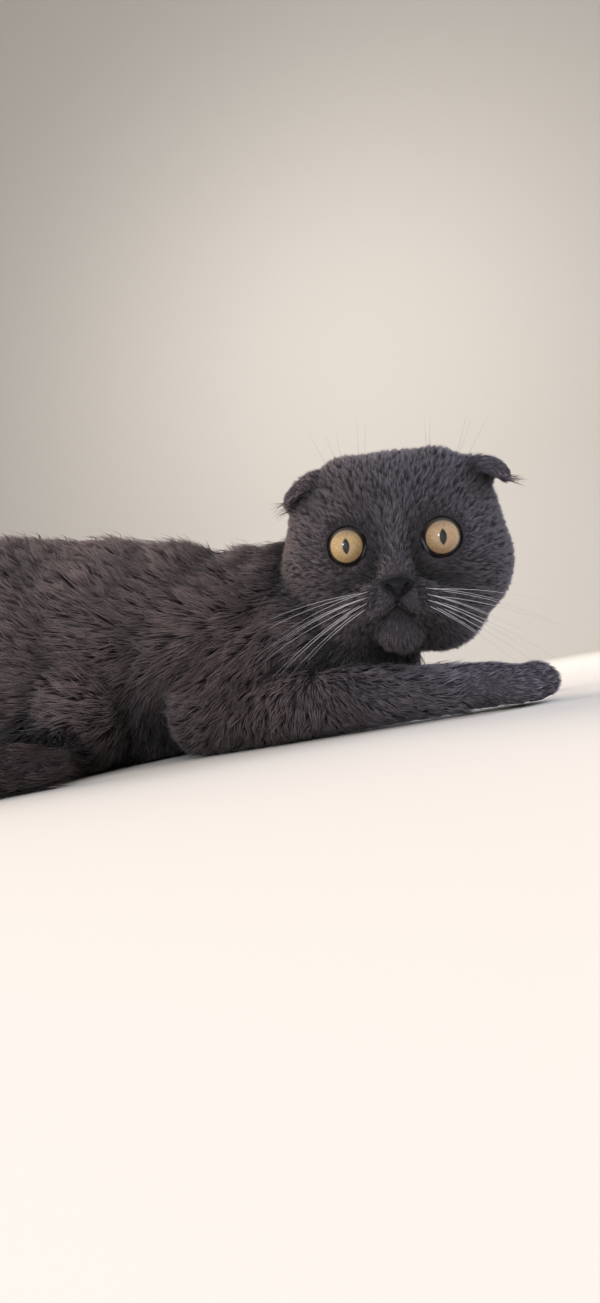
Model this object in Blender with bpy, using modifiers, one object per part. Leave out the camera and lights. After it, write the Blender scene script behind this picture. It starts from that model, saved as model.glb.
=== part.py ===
"""A life-size Scottish fold cat, lying on its chest with its head turned to its right.

Metres, +Z up. The cat lies along X with its chest towards +X, and its right side faces -Y.
The floor that it rests on is Z = 0, and the origin is below the middle of the whole cat.
"""

import math

import bmesh
import bpy
from mathutils import Matrix, Vector
from mathutils.bvhtree import BVHTree

MM = 0.001

# Clearances and mesh sizes.
GAP = 0.3 * MM
FLESH_VOXEL = 2.4 * MM
HEAD_VOXEL = 1.5 * MM
FLESH_TRIANGLES = 3300
HEAD_TRIANGLES = 2900
CLEARANCE_TRIANGLES = 900
CLEARANCE_ERROR = 0.5 * MM
PAW_VOXEL = 1.3 * MM
PAW_TRIANGLES = 560
NOSE_TRIANGLES = 300
EAR_TRIANGLES = 450
CUTTER_TRIANGLES = 150

# The head, in its own axes: right as the viewer sees it, up, and forward out of the nose.
HEAD_CENTRE = Vector((-13.8, -27.2, 91.4)) * MM
HEAD_FORWARD = Vector((0.049, -0.980, -0.192))
HEAD_ROLL = math.radians(6.3)
EYE_RADIUS = 10.5 * MM
EYE_ACROSS = 24.0 * MM
EYE_UP = 7.6 * MM
EYE_FORWARD = 26.5 * MM
CORNEA_RADIUS = 9.0 * MM
CORNEA_RISE = 1.2 * MM
LID_OPENING = 10.2 * MM
LID_THICK = 1.5 * MM
CANTHUS_REACH = 3.6 * MM
SOCKET_DEPTH = 30.9 * MM
SOCKET_SLOPE = 0.1
SOCKET_RADIUS = 21 * MM
NOSE_TIP = Vector((0, -13.8, 53.5)) * MM
EAR_THICK = 2.6 * MM

# The plane that the two sides of the body mirror about.
MIDLINE_Y = 5 * MM

# Where the body is parted into nodes: by how much a limb's own node is fatter than its core, where
# the forepaws start, and the slanting plane behind the neck.
GROW = 3 * MM
PAW_STARTS = 6 * MM
NECK_CUT = Vector((-76, 5, 84)) * MM
NECK_SLANT = math.radians(-38)

COAT_GREY = (0.085, 0.078, 0.082, 1.0)
EYE_AMBER = (0.62, 0.38, 0.11, 1.0)
NOSE_SLATE = (0.035, 0.035, 0.042, 1.0)


# Scene and materials

def clear_scene():
    for old in list(bpy.data.objects):
        bpy.data.objects.remove(old)


def material(name, colour, roughness, metallic=0.0):
    made = bpy.data.materials.new(name)
    made.use_nodes = True
    shader = made.node_tree.nodes["Principled BSDF"]
    shader.inputs["Base Color"].default_value = colour
    shader.inputs["Roughness"].default_value = roughness
    shader.inputs["Metallic"].default_value = metallic
    return made


def collection(name, hidden=False):
    made = bpy.data.collections.new(name)
    bpy.context.scene.collection.children.link(made)
    made.hide_render = hidden
    return made


clear_scene()
CAT = collection("scottish_fold_cat")
WORK = collection("work", hidden=True)
COAT = material("coat", COAT_GREY, 0.9)
EYE = material("eye", EYE_AMBER, 0.12)
NOSE = material("nose_leather", NOSE_SLATE, 0.45)


# Mesh helpers

def add(name, mesh, where=WORK):
    made = bpy.data.objects.new(name, mesh)
    where.objects.link(made)
    return made


def baked(obj):
    """The object's evaluated mesh, in world space, as a new mesh."""
    bpy.context.view_layer.update()
    graph = bpy.context.evaluated_depsgraph_get()
    made = bpy.data.meshes.new_from_object(obj.evaluated_get(graph))
    made.transform(obj.matrix_world)
    return made


def apply_modifiers(obj):
    made = baked(obj)
    obj.modifiers.clear()
    obj.data = made
    obj.matrix_world = Matrix.Identity(4)
    return obj


def ellipsoid(centre, radii, turn=None, rings=16):
    """A closed ball of three radii; turn is a rotation matrix about its centre."""
    mesh = bpy.data.meshes.new("ellipsoid")
    form = bmesh.new()
    bmesh.ops.create_uvsphere(form, u_segments=2 * rings, v_segments=rings, radius=1)
    form.to_mesh(mesh)
    form.free()
    matrix = Matrix.Translation(centre)
    if turn is not None:
        matrix = matrix @ turn.to_4x4()
    mesh.transform(matrix @ Matrix.Diagonal((*radii, 1)))
    return add("ellipsoid", mesh)


def smooth_path(points, steps=6):
    """A Catmull-Rom curve through the points, each a tuple of numbers."""
    ends = [points[0]] + list(points) + [points[-1]]
    path = []
    for a, b, c, d in zip(ends, ends[1:], ends[2:], ends[3:]):
        for i in range(steps):
            t = i / steps
            path.append(tuple(
                0.5 * (2 * q + (r - p) * t + (2 * p - 5 * q + 4 * r - s) * t * t
                       + (3 * q - p - 3 * r + s) * t ** 3)
                for p, q, r, s in zip(a, b, c, d)))
    path.append(tuple(points[-1]))
    return path


def tube(points, grow=0.0, steps=6, sides=3):
    """A closed tube with round ends through (x, y, z, radius) points."""
    path = smooth_path(points, steps)
    curve = bpy.data.curves.new("tube", "CURVE")
    curve.dimensions = "3D"
    curve.bevel_depth = 1.0
    curve.bevel_resolution = sides
    curve.use_fill_caps = True
    spline = curve.splines.new("POLY")
    spline.points.add(len(path) - 1)
    for point, (x, y, z, radius) in zip(spline.points, path):
        point.co = (x, y, z, 1)
        point.radius = radius + grow
    made = add("tube", curve)
    mesh = baked(made)
    bpy.data.objects.remove(made)
    form = bmesh.new()
    form.from_mesh(mesh)
    bmesh.ops.remove_doubles(form, verts=form.verts, dist=0.01 * MM)
    form.to_mesh(mesh)
    form.free()
    return add("tube", mesh)


def in_metres(points):
    return [tuple(value * MM for value in point) for point in points]


def ball(point, grow=0.0):
    """A round end for a tube, at an (x, y, z, radius) point."""
    return ellipsoid(Vector(point[:3]), [point[3] + grow] * 3, rings=12)


def round_ends(points, grow=0.0):
    return [ball(points[0], grow), ball(points[-1], grow)]


def joined(name, pieces):
    """One object that holds the pieces' meshes, still as separate shells."""
    form = bmesh.new()
    for piece in pieces:
        mesh = baked(piece)
        form.from_mesh(mesh)
        bpy.data.objects.remove(piece)
    mesh = bpy.data.meshes.new(name)
    form.to_mesh(mesh)
    form.free()
    return add(name, mesh)


def modifier(obj, kind, **settings):
    made = obj.modifiers.new(kind.lower(), kind)
    for key, value in settings.items():
        setattr(made, key, value)
    return made


def fused(name, pieces, voxel, smoothing):
    """The pieces melted into one closed skin, then rubbed smooth."""
    made = joined(name, pieces)
    modifier(made, "REMESH", mode="VOXEL", voxel_size=voxel)
    modifier(made, "SMOOTH", factor=0.5, iterations=smoothing)
    apply_modifiers(made)
    return keep_largest(made)


def thinned(obj, triangles):
    """The mesh brought down to about this many triangles."""
    modifier(obj, "TRIANGULATE")
    apply_modifiers(obj)
    share = triangles / len(obj.data.polygons)
    modifier(obj, "DECIMATE", decimate_type="COLLAPSE", ratio=min(1.0, share))
    return apply_modifiers(obj)


def keep_largest(obj):
    """Drops every shell but the one with most faces."""
    form = bmesh.new()
    form.from_mesh(obj.data)
    form.faces.ensure_lookup_table()
    seen, shells = set(), []
    for face in form.faces:
        if face.index in seen:
            continue
        shell, front = [], [face]
        seen.add(face.index)
        while front:
            here = front.pop()
            shell.append(here)
            for edge in here.edges:
                for other in edge.link_faces:
                    if other.index not in seen:
                        seen.add(other.index)
                        front.append(other)
        shells.append(shell)
    shells.sort(key=lambda shell: sum(face.calc_area() for face in shell))
    loose = [face for shell in shells[:-1] for face in shell]
    bmesh.ops.delete(form, geom=loose, context="FACES")
    form.to_mesh(obj.data)
    form.free()
    return obj


def boolean(obj, other, operation):
    """Joins or cuts obj with other, which is used up."""
    modifier(obj, "BOOLEAN", operation=operation, object=other, solver="EXACT")
    apply_modifiers(obj)
    bpy.data.objects.remove(other)
    return keep_largest(obj)


def copied(obj, name="copy"):
    return add(name, obj.data.copy())


def inflated(obj, distance=GAP):
    """A copy whose surface stands this far outside the object's own."""
    made = copied(obj)
    modifier(made, "DISPLACE", strength=distance, mid_level=0.0)
    return apply_modifiers(made)


def block(low, high):
    """A box between two corners."""
    mesh = bpy.data.meshes.new("block")
    form = bmesh.new()
    bmesh.ops.create_cube(form, size=1)
    form.to_mesh(mesh)
    form.free()
    size = Vector(high) - Vector(low)
    middle = (Vector(high) + Vector(low)) / 2
    mesh.transform(Matrix.Translation(middle) @ Matrix.Diagonal((*size, 1)))
    return add("block", mesh)


def as_node(obj, name, finish):
    """The finished piece, shown as a node of the cat."""
    obj.name = name
    obj.data.name = name
    WORK.objects.unlink(obj)
    CAT.objects.link(obj)
    obj.data.materials.clear()
    obj.data.materials.append(finish)
    for face in obj.data.polygons:
        face.material_index = 0
    obj.data.shade_smooth()
    obj.data.set_sharp_from_angle(angle=math.radians(40))
    return obj


# The head, in its own axes

def head_matrix():
    """Turns the head's own axes, across, up and forward, into the cat's."""
    forward = HEAD_FORWARD.normalized()
    across = Vector((0, 0, 1)).cross(forward).normalized()
    up = forward.cross(across)
    turn = Matrix((across, up, forward)).transposed()
    roll = Matrix.Rotation(-HEAD_ROLL, 3, "Z")
    return Matrix.Translation(HEAD_CENTRE) @ (turn @ roll).to_4x4()


HEAD = head_matrix()


def both_sides(across, up, forward):
    """The same place on the two sides of the face, given in millimetres."""
    return [Vector((side * across, up, forward)) * MM for side in (-1, 1)]


def balls(single, paired, rings):
    """Ellipsoids from (centre, radii) rows in millimetres, the paired ones on both sides."""
    pieces = [ellipsoid(Vector(c) * MM, Vector(r) * MM, rings=rings) for c, r in single]
    for centre, radii in paired:
        for place in both_sides(*centre):
            pieces.append(ellipsoid(place, Vector(radii) * MM, rings=rings))
    return pieces


def head_form():
    """Skull and jowls melted together first, then the smaller forms of the face."""
    skull = [
        ((0, 11, -11), (62, 46, 44)),
        ((0, 25, -4), (50, 33.5, 33)),
        ((0, 4, -26), (50, 44, 30)),
        ((0, -22, 2), (45, 33, 35)),
    ]
    jowls = [
        ((32, -6, -7), (34, 36, 35)),
        ((22, -29, 5), (27, 26, 27)),
        ((29, -8, 9), (25, 24, 20)),
        ((32, 23, -9), (28, 21, 26)),
        ((23, 33, -6), (24, 26, 26)),
    ]
    big = fused("skull", balls(skull, jowls, 24), 2 * HEAD_VOXEL, 16)
    chin = [((0, -38, 32.5), (13, 12, 14.5))]
    muzzle = [((10, -21.5, 37.5), (12, 10.5, 13)), ((17, -25, 30), (12.5, 11, 12.5))]
    ear_base = [((42, 40, -6), (14, 12, 14))]
    bridge = in_metres([(0, 27, 17.5, 14), (0, 8, 28, 12.5), (0, -8, 40, 9)])
    small = balls(chin, muzzle + ear_base, 18) + [tube(bridge)] + round_ends(bridge)
    return dished(fused("head", [big] + small, HEAD_VOXEL, 10))


def dished(head):
    """Sinks the face round each eye to the depth of the lids, shallower towards the temple."""
    inner = LID_OPENING + 2 * MM
    for point in head.data.vertices:
        side = math.copysign(1, point.co.x)
        outward = side * point.co.x - EYE_ACROSS
        away = math.hypot(outward, point.co.y - EYE_UP)
        if point.co.z < 0 or away > SOCKET_RADIUS:
            continue
        share = min(1.0, (SOCKET_RADIUS - away) / (SOCKET_RADIUS - inner))
        share = share * share * (3 - 2 * share)
        level = SOCKET_DEPTH - SOCKET_SLOPE * max(outward, -3 * MM)
        point.co.z += (level - point.co.z) * share
    head.data.update()
    return head


def eye_centre(side):
    return Vector((side * EYE_ACROSS, EYE_UP, EYE_FORWARD))


def eye_form(side):
    """An eyeball whose front stands out to the cornea, a smaller ball inside it set forward."""
    eye = ellipsoid(Vector((0, 0, 0)), [1, 1, 1], rings=12)
    forward = EYE_RADIUS + CORNEA_RISE - CORNEA_RADIUS
    for point in eye.data.vertices:
        along = point.co.z * forward
        reach = along + math.sqrt(along ** 2 - forward ** 2 + CORNEA_RADIUS ** 2)
        point.co = point.co * max(EYE_RADIUS, reach) + eye_centre(side)
    eye.data.update()
    return eye


LID_STEPS = 22


def lid_path(side):
    """The rim of the opening, on the eyeball, drawn out to a corner by the nose."""
    points = []
    reach = EYE_RADIUS + 0.7 * MM
    for i in range(LID_STEPS):
        angle = 2 * math.pi * i / LID_STEPS
        inward = max(0.0, math.cos(angle + math.radians(30)))
        radius = LID_OPENING + CANTHUS_REACH * inward ** 8
        across, up = -side * radius * math.cos(angle), radius * math.sin(angle)
        depth = math.sqrt(max(reach ** 2 - min(radius, 0.93 * reach) ** 2, 0))
        points.append((across, up, depth, LID_THICK))
    centre = eye_centre(side)
    return [(x + centre.x, y + centre.y, z + centre.z, r) for x, y, z, r in points]


def ring(points):
    """A closed tube round a loop of (x, y, z, radius) points."""
    curve = bpy.data.curves.new("ring", "CURVE")
    curve.dimensions = "3D"
    curve.bevel_depth = 1.0
    curve.bevel_resolution = 1
    spline = curve.splines.new("POLY")
    spline.points.add(len(points) - 1)
    spline.use_cyclic_u = True
    for point, (x, y, z, radius) in zip(spline.points, points):
        point.co = (x, y, z, 1)
        point.radius = radius
    made = add("ring", curve)
    mesh = baked(made)
    bpy.data.objects.remove(made)
    return add("ring", mesh)


def mouth_lines(head):
    """Thin tubes that lie in the head's surface along the lips."""
    surface = BVHTree.FromPolygons(
        [v.co.copy() for v in head.data.vertices], [p.vertices[:] for p in head.data.polygons])
    split = [(0, -17), (0, -20), (0, -23.5)]
    corner = [(0, -23.5), (4.5, -26.5), (9, -30), (13, -32.5)]
    made = []
    for flat in (split, corner, [(-x, y) for x, y in corner]):
        path = []
        for across, up in smooth_path(flat, 3):
            hit = surface.ray_cast(Vector((across, up, 80)) * MM, Vector((0, 0, -1)))[0]
            path.append((hit.x, hit.y, hit.z, 1.0 * MM))
        made.append(tube(path, steps=1, sides=1))
    return made


def nose_form():
    """The bare nose: two wings above and a narrow foot, with a nostril in each wing."""
    x, y, z = NOSE_TIP / MM
    wings = [((3.4, y + 0.9, z - 4.6), (4.0, 2.6, 4.6))]
    middle = [((0, y + 0.4, z - 4.2), (4.0, 3.0, 4.8)), ((0, y - 2.4, z - 4.9), (2.6, 3.2, 4.2))]
    nose = fused("nose", balls(middle, wings, 14), 0.7 * MM, 5)
    thinned(nose, NOSE_TRIANGLES)
    for centre in both_sides(4.3, y + 0.4, z - 0.9):
        turn = Matrix.Rotation(math.copysign(0.6, centre.x), 3, "Z")
        boolean(nose, ellipsoid(centre, Vector((1.9, 1.0, 2.2)) * MM, turn, rings=6), "DIFFERENCE")
    return nose


# Five lines across each folded ear, each by its front, middle and back point in the head's axes:
# the buried root, the root, the crease, the swell of the flap, and the flap's free edge, whose
# middle is the ear's tip. The cat's right ear, which the viewer sees at left, stands a little wider.
EAR_LINES = {
    -1: [
        [(30, 40, -4), (36, 32, -15), (40, 24, -26)],
        [(34, 48, 0), (42, 41, -11), (49, 32, -22)],
        [(37, 50.5, 2), (48.5, 45.5, -5), (54.5, 39, -17)],
        [(40, 48.5, 7), (53, 41, 3), (58, 35.5, -11)],
        [(41.5, 42.5, 10), (54.5, 34, 9), (56.5, 33, -8)],
    ],
    1: [
        [(35, 36, -2), (41, 27, -14), (45, 20, -24)],
        [(41, 41, 1), (48, 35, -11), (54, 29, -22)],
        [(43, 48, 2), (54, 45.5, -5), (60, 41.5, -16)],
        [(46, 46.5, 7), (59, 42.5, 2), (63, 38.5, -10)],
        [(47.5, 41, 10), (60, 33.5, 9), (62.5, 35.5, -6)],
    ],
}


def across_line(points, t):
    """A place on the curve through a line's three points; t runs from -1 to 1."""
    front, middle, back = (Vector(point) for point in points)
    return middle + (back - front) * (t / 2) + ((front + back) / 2 - middle) * t * t


def ear_form(side):
    """A shell of the ear's thickness, bent over into a cap, its root sunk below the skull."""
    form = bmesh.new()
    columns = []
    for i in range(11):
        crossing = [tuple(across_line(line, -1 + i / 5)) for line in EAR_LINES[side]]
        columns.append([form.verts.new(Vector((side * x, y, z)) * MM)
                        for x, y, z in smooth_path(crossing, 3)])
    for here, after in zip(columns, columns[1:]):
        for j in range(len(here) - 1):
            form.faces.new((here[j], here[j + 1], after[j + 1], after[j]))
    bmesh.ops.recalc_face_normals(form, faces=form.faces)
    mesh = bpy.data.meshes.new("ear")
    form.to_mesh(mesh)
    form.free()
    ear = add("ear", mesh)
    modifier(ear, "SOLIDIFY", thickness=EAR_THICK, offset=0.0, use_even_offset=True)
    modifier(ear, "SUBSURF", levels=1, render_levels=1)
    apply_modifiers(ear)
    return thinned(ear, EAR_TRIANGLES)


def head_nodes():
    """Head, nose, eyes and ears, each cut clear of the next, and a plain form to cut the body clear."""
    head = head_form()
    plain = thinned(copied(head), CLEARANCE_TRIANGLES)
    clearance = inflated(plain, GAP + CLEARANCE_ERROR)
    bpy.data.objects.remove(plain)
    thinned(head, HEAD_TRIANGLES)
    for line in mouth_lines(head):
        boolean(head, line, "DIFFERENCE")
    nose = nose_form()
    boolean(head, inflated(nose), "DIFFERENCE")
    eyes, ears = {}, {}
    for side, name in ((-1, "right"), (1, "left")):
        lids = ring(lid_path(side))
        boolean(head, lids, "UNION")
        eyes[name] = eye_form(side)
        boolean(head, inflated(eyes[name]), "DIFFERENCE")
    skull = inflated(head)
    for side, name in ((-1, "right"), (1, "left")):
        ears[name] = boolean(ear_form(side), copied(skull), "DIFFERENCE")
    bpy.data.objects.remove(skull)
    made = {"head": head, "nose": nose}
    for name in ("right", "left"):
        made["eye_" + name] = eyes[name]
        made["ear_" + name] = ears[name]
    for obj in (clearance, *made.values()):
        obj.data.transform(HEAD)
    return made, clearance


# The body

def other_side(points):
    """The same limb on the cat's left."""
    return [(x, 2 * MIDLINE_Y - y, z, r) for x, y, z, r in points]


TORSO = [
    ((-135, 5, 60), (80, 58, 60)),
    ((-74, 3, 56), (50, 50, 54)),
    ((-212, 6, 70), (90, 63, 80)),
    ((-275, 4, 84), (77, 60, 82)),
    ((-245, 5, 90), (70, 54, 68)),
    ((-165, 5, 70), (70, 54, 68)),
    ((-108, 5, 90), (38, 36, 34)),
    ((-335, 4, 62), (34, 40, 50)),
    ((-46, -4, 46), (38, 40, 42)),
]
NECK = in_metres([(-95, 5, 76, 44), (-58, 9, 84, 42), (-22, 10, 88, 36)])
UPPER_ARM = in_metres([(-84, -12, 66, 31), (-108, -30, 46, 28), (-130, -40, 26, 25)])
FOREARM = in_metres([(-132, -42, 22, 22.5), (-90, -45, 20, 20.5), (-45, -47, 18, 17.5),
                     (-5, -46, 15, 14.5), (22, -45, 13, 13)])
FOREPAW = [((20, -45, 13), (22, 15.5, 12.5)), ((33, -57.5, 9), (13, 7.6, 9)),
           ((42.5, -49.5, 11), (14, 7, 11.5)), ((44.5, -40, 11), (13.5, 7, 11.5)),
           ((36, -31.5, 9), (12.5, 7.4, 9))]
THIGH = [((-260, -36, 64), (60, 32, 62)), ((-208, -43, 36), (30, 25, 36))]
HIND_FOOT = in_metres([(-318, -50, 17, 16), (-270, -60, 14, 13.5), (-228, -66, 12, 13)])
HIND_TOES = [((-214, -77, 9), (12, 6.4, 9)), ((-207, -69, 10), (12, 6.4, 10)), ((-208, -60, 9), (12, 6.4, 9))]
TOES_REACH = in_metres([(-206, -68, 10, 16)])
TAIL = in_metres([(-335, 4, 66, 20), (-362, 0, 49, 19), (-380, -32, 26.5, 18.5), (-366, -74, 17, 18.5),
                  (-325, -99, 16, 18.5), (-275, -107, 15.5, 18), (-230, -105, 14, 16), (-203, -98, 10, 11)])
TAIL_STEPS = 6
# The tail's nodes, each by its first and last point; every one is nearly straight.
TAIL_NODES = {"tail_tip": (5, 7), "tail_end": (4, 5), "tail_bend_side": (3, 4), "tail_bend_back": (2, 3),
              "tail_base": (0, 2)}


def body_balls(rows, left=False):
    pieces = []
    for (x, y, z), radii in rows:
        across = 2 * MIDLINE_Y / MM - y if left else y
        pieces.append(ellipsoid(Vector((x, across, z)) * MM, Vector(radii) * MM, rings=18))
    return pieces


def limb(points):
    return [tube(points)] + round_ends(points)


def body_form():
    """Torso, neck, limbs and tail melted into one, with flats where they rest on the floor."""
    pieces = body_balls(TORSO) + limb(NECK)
    for left in (False, True):
        for points in (UPPER_ARM, FOREARM, HIND_FOOT):
            pieces += limb(other_side(points) if left else points)
        for rows in (FOREPAW, THIGH, HIND_TOES):
            pieces += body_balls(rows, left)
    pieces += limb(TAIL)
    body = fused("body", pieces, FLESH_VOXEL, 14)
    thinned(body, FLESH_TRIANGLES)
    return boolean(body, below_floor(), "DIFFERENCE")


def below_floor():
    return block((-1, -1, -1), (1, 1, 0))


def toed(limb_points, toes, cutter, left):
    """The end of a limb, melted more finely than the body so that its toes stay apart."""
    points = other_side(limb_points) if left else limb_points
    pieces = limb(points[-3:]) + body_balls(toes, left)
    foot = thinned(fused("foot", pieces, PAW_VOXEL, 5), PAW_TRIANGLES)
    boolean(foot, below_floor(), "DIFFERENCE")
    return boolean(foot, cutter, "INTERSECT")


def region(points, left):
    """The space round a limb that is cut from the body as its own node."""
    path = other_side(points) if left else points
    return fused("region", [tube(path, GROW)] + round_ends(path, GROW), 3 * MM, 2)


def tail_region(first, last):
    """The space round a length of the tail, cut square a little past two of its points."""
    path = smooth_path(TAIL, TAIL_STEPS)
    run = path[max(first * TAIL_STEPS - 1, 0):last * TAIL_STEPS + 2]
    pieces = [tube(run, GROW, steps=1)]
    if first == 0:
        pieces.append(ball(path[0], GROW))
    if last == len(TAIL) - 1:
        pieces.append(ball(path[-1], GROW))
    return fused("region", pieces, 3 * MM, 2)


def thigh_region(left):
    pieces = []
    for (x, y, z), radii in THIGH:
        across = 2 * MIDLINE_Y / MM - y if left else y
        grown = Vector(radii) * MM + Vector((GROW, GROW, GROW))
        pieces.append(ellipsoid(Vector((x, across, z)) * MM, grown, rings=14))
    return fused("region", pieces, 4 * MM, 3)


def paw_region(left, back=PAW_STARTS):
    """The box ahead of the wrist."""
    low, high = Vector((back, -90 * MM, -10 * MM)), Vector((90, -15, 60)) * MM
    if left:
        low.y, high.y = 2 * MIDLINE_Y - high.y, 2 * MIDLINE_Y - low.y
    return block(low, high)


def neck_region():
    """Everything ahead of a slanting plane behind the neck."""
    box = block(Vector((0, -200, -100)) * MM, Vector((200, 200, 200)) * MM)
    box.data.transform(Matrix.Translation(NECK_CUT) @ Matrix.Rotation(NECK_SLANT, 4, "Y"))
    return box


def taken(body, cutter):
    """Cuts the cutter's share of the body out as a new piece, with the gap between them."""
    thinned(cutter, CUTTER_TRIANGLES)
    piece = boolean(copied(body), copied(cutter), "INTERSECT")
    wider = inflated(cutter)
    bpy.data.objects.remove(cutter)
    boolean(body, wider, "DIFFERENCE")
    return piece


def body_nodes():
    body = body_form()
    made = {}
    for left, side in ((False, "right"), (True, "left")):
        made["forepaw_" + side] = toed(FOREARM, FOREPAW, paw_region(left), left)
        boolean(body, paw_region(left, PAW_STARTS - GAP), "DIFFERENCE")
        made["forearm_" + side] = taken(body, region(FOREARM, left))
        made["upper_arm_" + side] = taken(body, region(UPPER_ARM, left))
    for name, (first, last) in TAIL_NODES.items():
        made[name] = taken(body, tail_region(first, last))
    for left, side in ((False, "right"), (True, "left")):
        made["hind_foot_" + side] = taken(body, region(HIND_FOOT + TOES_REACH, left))
        made["thigh_" + side] = taken(body, thigh_region(left))
    made["neck"] = taken(body, neck_region())
    made["torso"] = body
    return made


def box_middle(pieces):
    """The point on the floor below the middle of the box round all the pieces."""
    corners = [point.co for obj in pieces for point in obj.data.vertices]
    low, high = ([end(c[axis] for c in corners) for axis in (0, 1)] for end in (min, max))
    return Vector(((low[0] + high[0]) / 2, (low[1] + high[1]) / 2, 0))


def main():
    nodes, clearance = head_nodes()
    for name, obj in body_nodes().items():
        nodes[name] = boolean(obj, copied(clearance), "DIFFERENCE")
    bpy.data.objects.remove(clearance)
    finishes = {"nose": NOSE, "eye_right": EYE, "eye_left": EYE}
    middle = box_middle(nodes.values())
    for name, obj in nodes.items():
        obj.data.transform(Matrix.Translation(-middle))
        as_node(obj, name, finishes.get(name, COAT))


main()
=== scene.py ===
# %% [markdown]
# # A lying Scottish fold cat
#
# This notebook dresses a plain solid model of a cat. The solids already say where every limb is and how far
# the coat reaches. What they lack is what a cat is made of to the eye: skin, tens of thousands of tufts of
# fur, wet eyes, a leathery nose and whiskers. Each step below makes one of these and says why it is made
# that way. All lengths are in metres, and MM turns a millimetre into metres.

# %% The frame
import math

import bmesh
import bpy
import numpy as np
from mathutils import Matrix, Vector
from mathutils.bvhtree import BVHTree
from mathutils.kdtree import KDTree


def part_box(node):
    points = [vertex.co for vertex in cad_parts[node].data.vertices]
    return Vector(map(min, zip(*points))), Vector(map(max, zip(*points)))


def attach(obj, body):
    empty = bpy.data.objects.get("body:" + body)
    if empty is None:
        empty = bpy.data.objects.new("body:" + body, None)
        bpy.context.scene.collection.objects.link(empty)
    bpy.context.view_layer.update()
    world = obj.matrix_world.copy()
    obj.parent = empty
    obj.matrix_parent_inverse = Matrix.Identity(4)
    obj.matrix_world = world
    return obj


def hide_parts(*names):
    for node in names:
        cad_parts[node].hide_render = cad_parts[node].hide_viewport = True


MM = 0.001
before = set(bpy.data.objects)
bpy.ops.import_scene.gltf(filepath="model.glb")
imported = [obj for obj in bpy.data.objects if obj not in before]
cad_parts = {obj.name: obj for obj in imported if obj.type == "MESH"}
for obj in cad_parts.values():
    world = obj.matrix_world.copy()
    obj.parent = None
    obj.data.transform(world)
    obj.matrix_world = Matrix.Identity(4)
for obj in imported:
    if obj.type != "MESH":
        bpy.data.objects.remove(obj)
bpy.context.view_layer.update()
print("nodes:", len(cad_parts))

# %% [markdown]
# ## The camera
#
# The picture was taken from low down, close to the cat, with the camera tipped a little to one side. A cat's
# eyes are the surest thing to aim by, so the camera's place is measured from the middle between the two
# eyeballs. The lens follows from the picture's tall frame: its angle is given for the longer side.

# %% The camera
PICTURE_WIDTH, PICTURE_HEIGHT = 600, 1303
FOCAL_PIXELS = 640
SENSOR_WIDTH = 36.0
EYE_RADIUS = 10.5 * MM
CAMERA_FROM_EYES = Vector((11.6, -330.2, -70.0)) * MM
CAMERA_YAW = math.radians(12)
CAMERA_PITCH = math.radians(4)
CAMERA_ROLL = math.radians(10)


def eyeball_centre(side):
    """The middle of an eyeball: its back and sides are round, only its front bulges."""
    low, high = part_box(f"eye_{side}")
    return Vector(((low.x + high.x) / 2, high.y - EYE_RADIUS, (low.z + high.z) / 2))


EYES = {side: eyeball_centre(side) for side in ("right", "left")}
EYES_MIDDLE = (EYES["right"] + EYES["left"]) / 2
view_direction = Vector((
    -math.sin(CAMERA_YAW) * math.cos(CAMERA_PITCH),
    math.cos(CAMERA_YAW) * math.cos(CAMERA_PITCH),
    math.sin(CAMERA_PITCH),
))
camera = bpy.data.objects.new("camera", bpy.data.cameras.new("camera"))
camera.data.sensor_width = SENSOR_WIDTH
camera.data.lens = FOCAL_PIXELS / PICTURE_HEIGHT * SENSOR_WIDTH
camera.data.clip_start = 0.01
camera.matrix_world = (
    Matrix.Translation(EYES_MIDDLE + CAMERA_FROM_EYES)
    @ view_direction.to_track_quat("-Z", "Y").to_matrix().to_4x4()
    @ Matrix.Rotation(-CAMERA_ROLL, 4, "Z")
)
bpy.context.scene.collection.objects.link(camera)
bpy.context.scene.camera = camera
print("camera at", [round(v, 3) for v in camera.matrix_world.translation])

# %% [markdown]
# ## Floor, backdrop and light
#
# Dark fur shows its form by the light that grazes it. A pale floor that curves up into a pale backdrop keeps
# the scene plain. Two warm lights, behind and on the left, make the hair tips glow along the back, and a
# cooler one stands on the right. A soft light fills the front and a large one washes the backdrop. Wet eyes
# mirror every light, so these five are hidden from mirrored rays, and one small light, up and to the left of
# the camera, makes the only highlight.

# %% Floor, backdrop and light
FLOOR_DEPTH, FLOOR_FRONT, FLOOR_WIDTH = 2.6, -9.0, 30.0
SWEEP_RADIUS, BACKDROP_HEIGHT = 1.4, 14.0
SWEEP_STEPS = 24
PAPER_COLOUR = (0.64, 0.61, 0.57, 1)
ROOM_COLOUR, ROOM_STRENGTH = (0.95, 0.93, 0.92, 1), 0.55


def sweep_outline():
    """The floor's side view: flat, a quarter of a circle, then upright."""
    points = [(FLOOR_FRONT, 0.0)]
    for step in range(SWEEP_STEPS + 1):
        angle = step / SWEEP_STEPS * math.pi / 2
        points.append((
            FLOOR_DEPTH + SWEEP_RADIUS * math.sin(angle),
            SWEEP_RADIUS * (1 - math.cos(angle)),
        ))
    points.append((FLOOR_DEPTH + SWEEP_RADIUS, BACKDROP_HEIGHT))
    return points


def new_material(name):
    """A material with its links and its Principled shader, ready for more nodes."""
    material = bpy.data.materials.new(name)
    material.use_nodes = True
    return material, material.node_tree.links, material.node_tree.nodes["Principled BSDF"]


def plain_material(name, colour, roughness, specular=0.5):
    """A material of one colour."""
    material, _, shader = new_material(name)
    shader.inputs["Base Color"].default_value = colour
    shader.inputs["Roughness"].default_value = roughness
    shader.inputs["Specular IOR Level"].default_value = specular
    return material


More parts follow.
